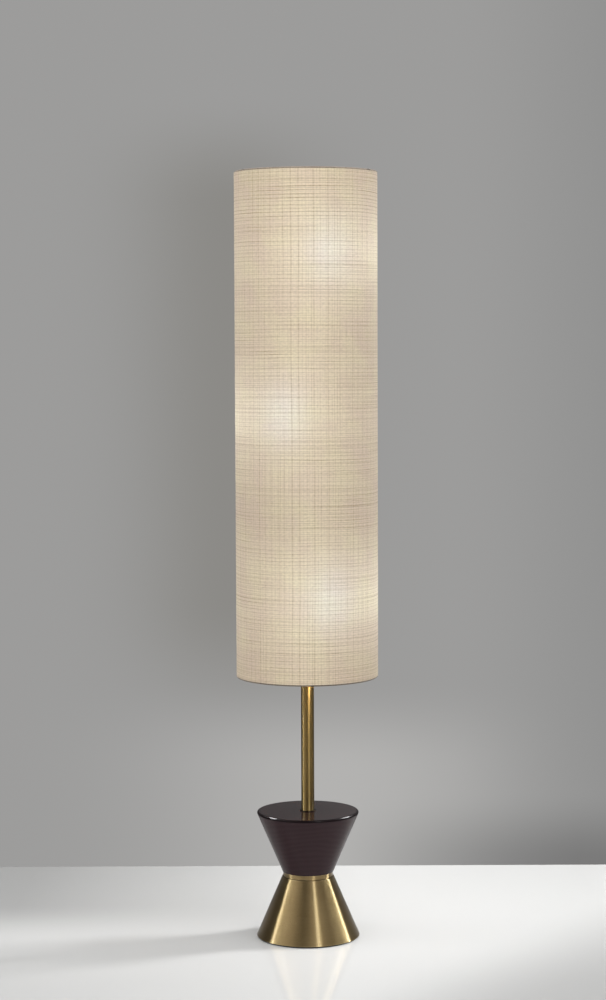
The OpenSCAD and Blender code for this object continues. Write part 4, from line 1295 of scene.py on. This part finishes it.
def makeYarnTree():
    # thick uneven yarns a little proud of the cloth: laid out flat, then wrapped round the shade
    tree, given, result = growTree("slubYarns", {
        "Round": 0.8639, "Low": 0.5146, "High": 1.4829, "Density": 500.0, "Shortest": 0.02, "Longest": 0.12,
        "Thickness": 0.0004, "Upright": 0.0, "Wander": 0.0012, "Shade Radius": 0.1375, "Seed": 3})
    tall = given["High"] - given["Low"]
    field = fromNode(tree, "GeometryNodeMeshGrid", {"Size X": given["Round"], "Size Y": tall, "Vertices X": 2,
                                                    "Vertices Y": 2})
    spots = fromNode(tree, "GeometryNodeDistributePointsOnFaces", {0: field, "Seed": given["Seed"],
                                                                   "Density": given["Density"]})
    length = fromNode(tree, "FunctionNodeRandomValue", {2: given["Shortest"], 3: given["Longest"],
                                                        "Seed": given["Seed"]}, 1, data_type="FLOAT")
    line = fromNode(tree, "GeometryNodeCurvePrimitiveLine", {"Start": (-0.5, 0, 0), "End": (0.5, 0, 0)})
    fine = fromNode(tree, "GeometryNodeResampleCurve", {0: line, "Count": 14})
    laid = fromNode(tree, "GeometryNodeInstanceOnPoints", {
        "Points": spots, "Instance": fine, "Rotation": xyz(z=given["Upright"] * (math.pi / 2)),
        "Scale": xyz(length, 1.0, 1.0)})
    real = fromNode(tree, "GeometryNodeRealizeInstances", {0: laid})
    along = fromNode(tree, "GeometryNodeSplineParameter", output="Factor")
    position = fromNode(tree, "GeometryNodeInputPosition")
    # thin at both ends, with lumps between
    taper = calc("POWER", calc("SINE", calc("MULTIPLY_ADD", along, 0.94, 0.03) * math.pi), 0.7)
    girth = taper * spread(noise(position, 70.0, 1.0), 0.3, 0.7, 0.55, 1.3) * given["Thickness"]
    drift = vectorCalc("SUBTRACT", noise(position, 11.0, 1.0, output="Color"), (0.5, 0.5, 0.5))
    drift = scaled(vectorCalc("MULTIPLY", drift, (1.0, 1.0, 0.0)), given["Wander"])
    strayed = fromNode(tree, "GeometryNodeSetPosition", {0: real, "Offset": drift})
    solid = barAlong(tree, strayed, 6, girth)
    # keep the map of the flat cloth, then wrap it
    x, y, z = split(position)
    middle = tall * 0.5
    mapped = fromNode(tree, "GeometryNodeStoreNamedAttribute", {0: solid, "Name": "surface",
                                                                "Value": xyz(x, y + middle)},
                      data_type="FLOAT2", domain="CORNER")
    height = calc("MAXIMUM", calc("MINIMUM", y, middle), middle * -1.0) + middle + given["Low"]
    radius = given["Shade Radius"] + z * 0.8
    angle = x / given["Shade Radius"] + -math.pi / 2
    wrapped = xyz(radius * calc("COSINE", angle), radius * calc("SINE", angle), height)
    made = fromNode(tree, "GeometryNodeSetPosition", {0: mapped, "Position": wrapped})
    return endTree(tree, made, given, result)


yarnTree = makeYarnTree()
slubs = {
    "weftSlubs": {"Density": 900.0, "Shortest": 0.015, "Longest": 0.12, "Thickness": 0.00034, "Seed": 11},
    "warpSlubs": {"Density": 220.0, "Shortest": 0.03, "Longest": 0.2, "Thickness": 0.00028, "Seed": 29,
                  "Upright": 1.0},
}
weft, warp = [dress(grown(name, yarnTree, dict(values, Material=slubYarn)), slubYarn, "shade", "woven_fabric")
              for name, values in slubs.items()]


def makeSpokeTree():
    # straight spokes from the washer out and up to the wire ring, thicker where they are welded to it
    tree, given, result = growTree("spokes", {"Count": 3, "Inner": 0.007, "Outer": 0.1324, "Low": 1.4555,
                                              "High": 1.4829, "Radius": 0.0016})
    line = fromNode(tree, "GeometryNodeCurvePrimitiveLine", {
        "Start": xyz(given["Inner"], 0.0, given["Low"]), "End": xyz(given["Outer"], 0.0, given["High"])})
    fine = fromNode(tree, "GeometryNodeResampleCurve", {0: line, "Count": 24})
    along = fromNode(tree, "GeometryNodeSplineParameter", output="Factor")
    bar = barAlong(tree, fine, 20, spread(along, 0.965, 1.0, 1.0, 1.5, soft=True) * given["Radius"])
    points = fromNode(tree, "GeometryNodePoints", {"Count": given["Count"]})
    index = fromNode(tree, "GeometryNodeInputIndex")
    turn = xyz(z=index * (2 * math.pi) / given["Count"] + math.pi / 2)
    star = fromNode(tree, "GeometryNodeInstanceOnPoints", {
        "Points": points, "Instance": bar, "Rotation": turn})
    return endTree(tree, star, given, result)


spider = {"bore": 5.6, "radius": 14.0, "low": seat["flangeHigh"], "high": 1456.5}


def makeSpider(spider):
    low, high = spider["low"], spider["high"]
    washer = turned("spiderWasher", [
        (spider["bore"], low, 0.2), (spider["radius"], low, 0.5), (spider["radius"], high, 0.5),
        (spider["bore"], high, 0.2)], closed=True, steps=72)
    return joined("spiderFrame", [washer, grown("spokes", makeSpokeTree(), {"Material": wireSteel})])


dress(makeSpider(spider), wireSteel, "shade", "wire_steel", "spider")

finial = {"foot": spider["high"], "footRadius": 9, "neck": 5.25, "ball": 8.5, "ballHeight": 1473.0,
          "bore": 3.255, "boreTop": 1477.4}


def makeFinial(finial):
    foot, flange, neck, bore = finial["foot"], finial["footRadius"], finial["neck"], finial["bore"]
    ball, middle = finial["ball"], finial["ballHeight"]
    start = -math.acos(neck / ball) * 0.86
    outline = [(bore, foot), (flange, foot, 0.5), (flange, foot + 3, 0.9), (neck, foot + 3.2, 0.6)]
    outline += arc(0, middle, ball, start, math.pi / 2, 24)[:-1] + [(0, middle + ball)]
    outline += [(0, finial["boreTop"]), (bore, finial["boreTop"]), (bore, foot)]
    return turned("finialBall", outline, steps=80, sharp=50)


dress(makeFinial(finial), poleBrass, "finial", "pole_brass", "finial")
print("shade is made")

# inner pieces that keep their CAD form
innerFinishes = {
    "bottom_plate": plateSteel, "plate_screws": zincSteel, "base_weight": blackIron, "tie_rod": zincSteel,
    "rod_nut": zincSteel, "lock_washer": zincSteel, "flat_washer": zincSteel, "pole_foot_plug": zincSteel,
    "pole_top_plug": zincSteel, "supply_lead": leadPlastic, "riser_leads": leadPlastic,
    "arm_leads": leadPlastic, "base_splice_caps": splicePlastic, "hub_splice_caps": splicePlastic,
}
for name, material in innerFinishes.items():
    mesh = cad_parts[name].data
    if not mesh.materials:
        mesh.materials.append(material)
    for index in range(len(mesh.materials)):
        mesh.materials[index] = material
print("inner pieces have their finishes")
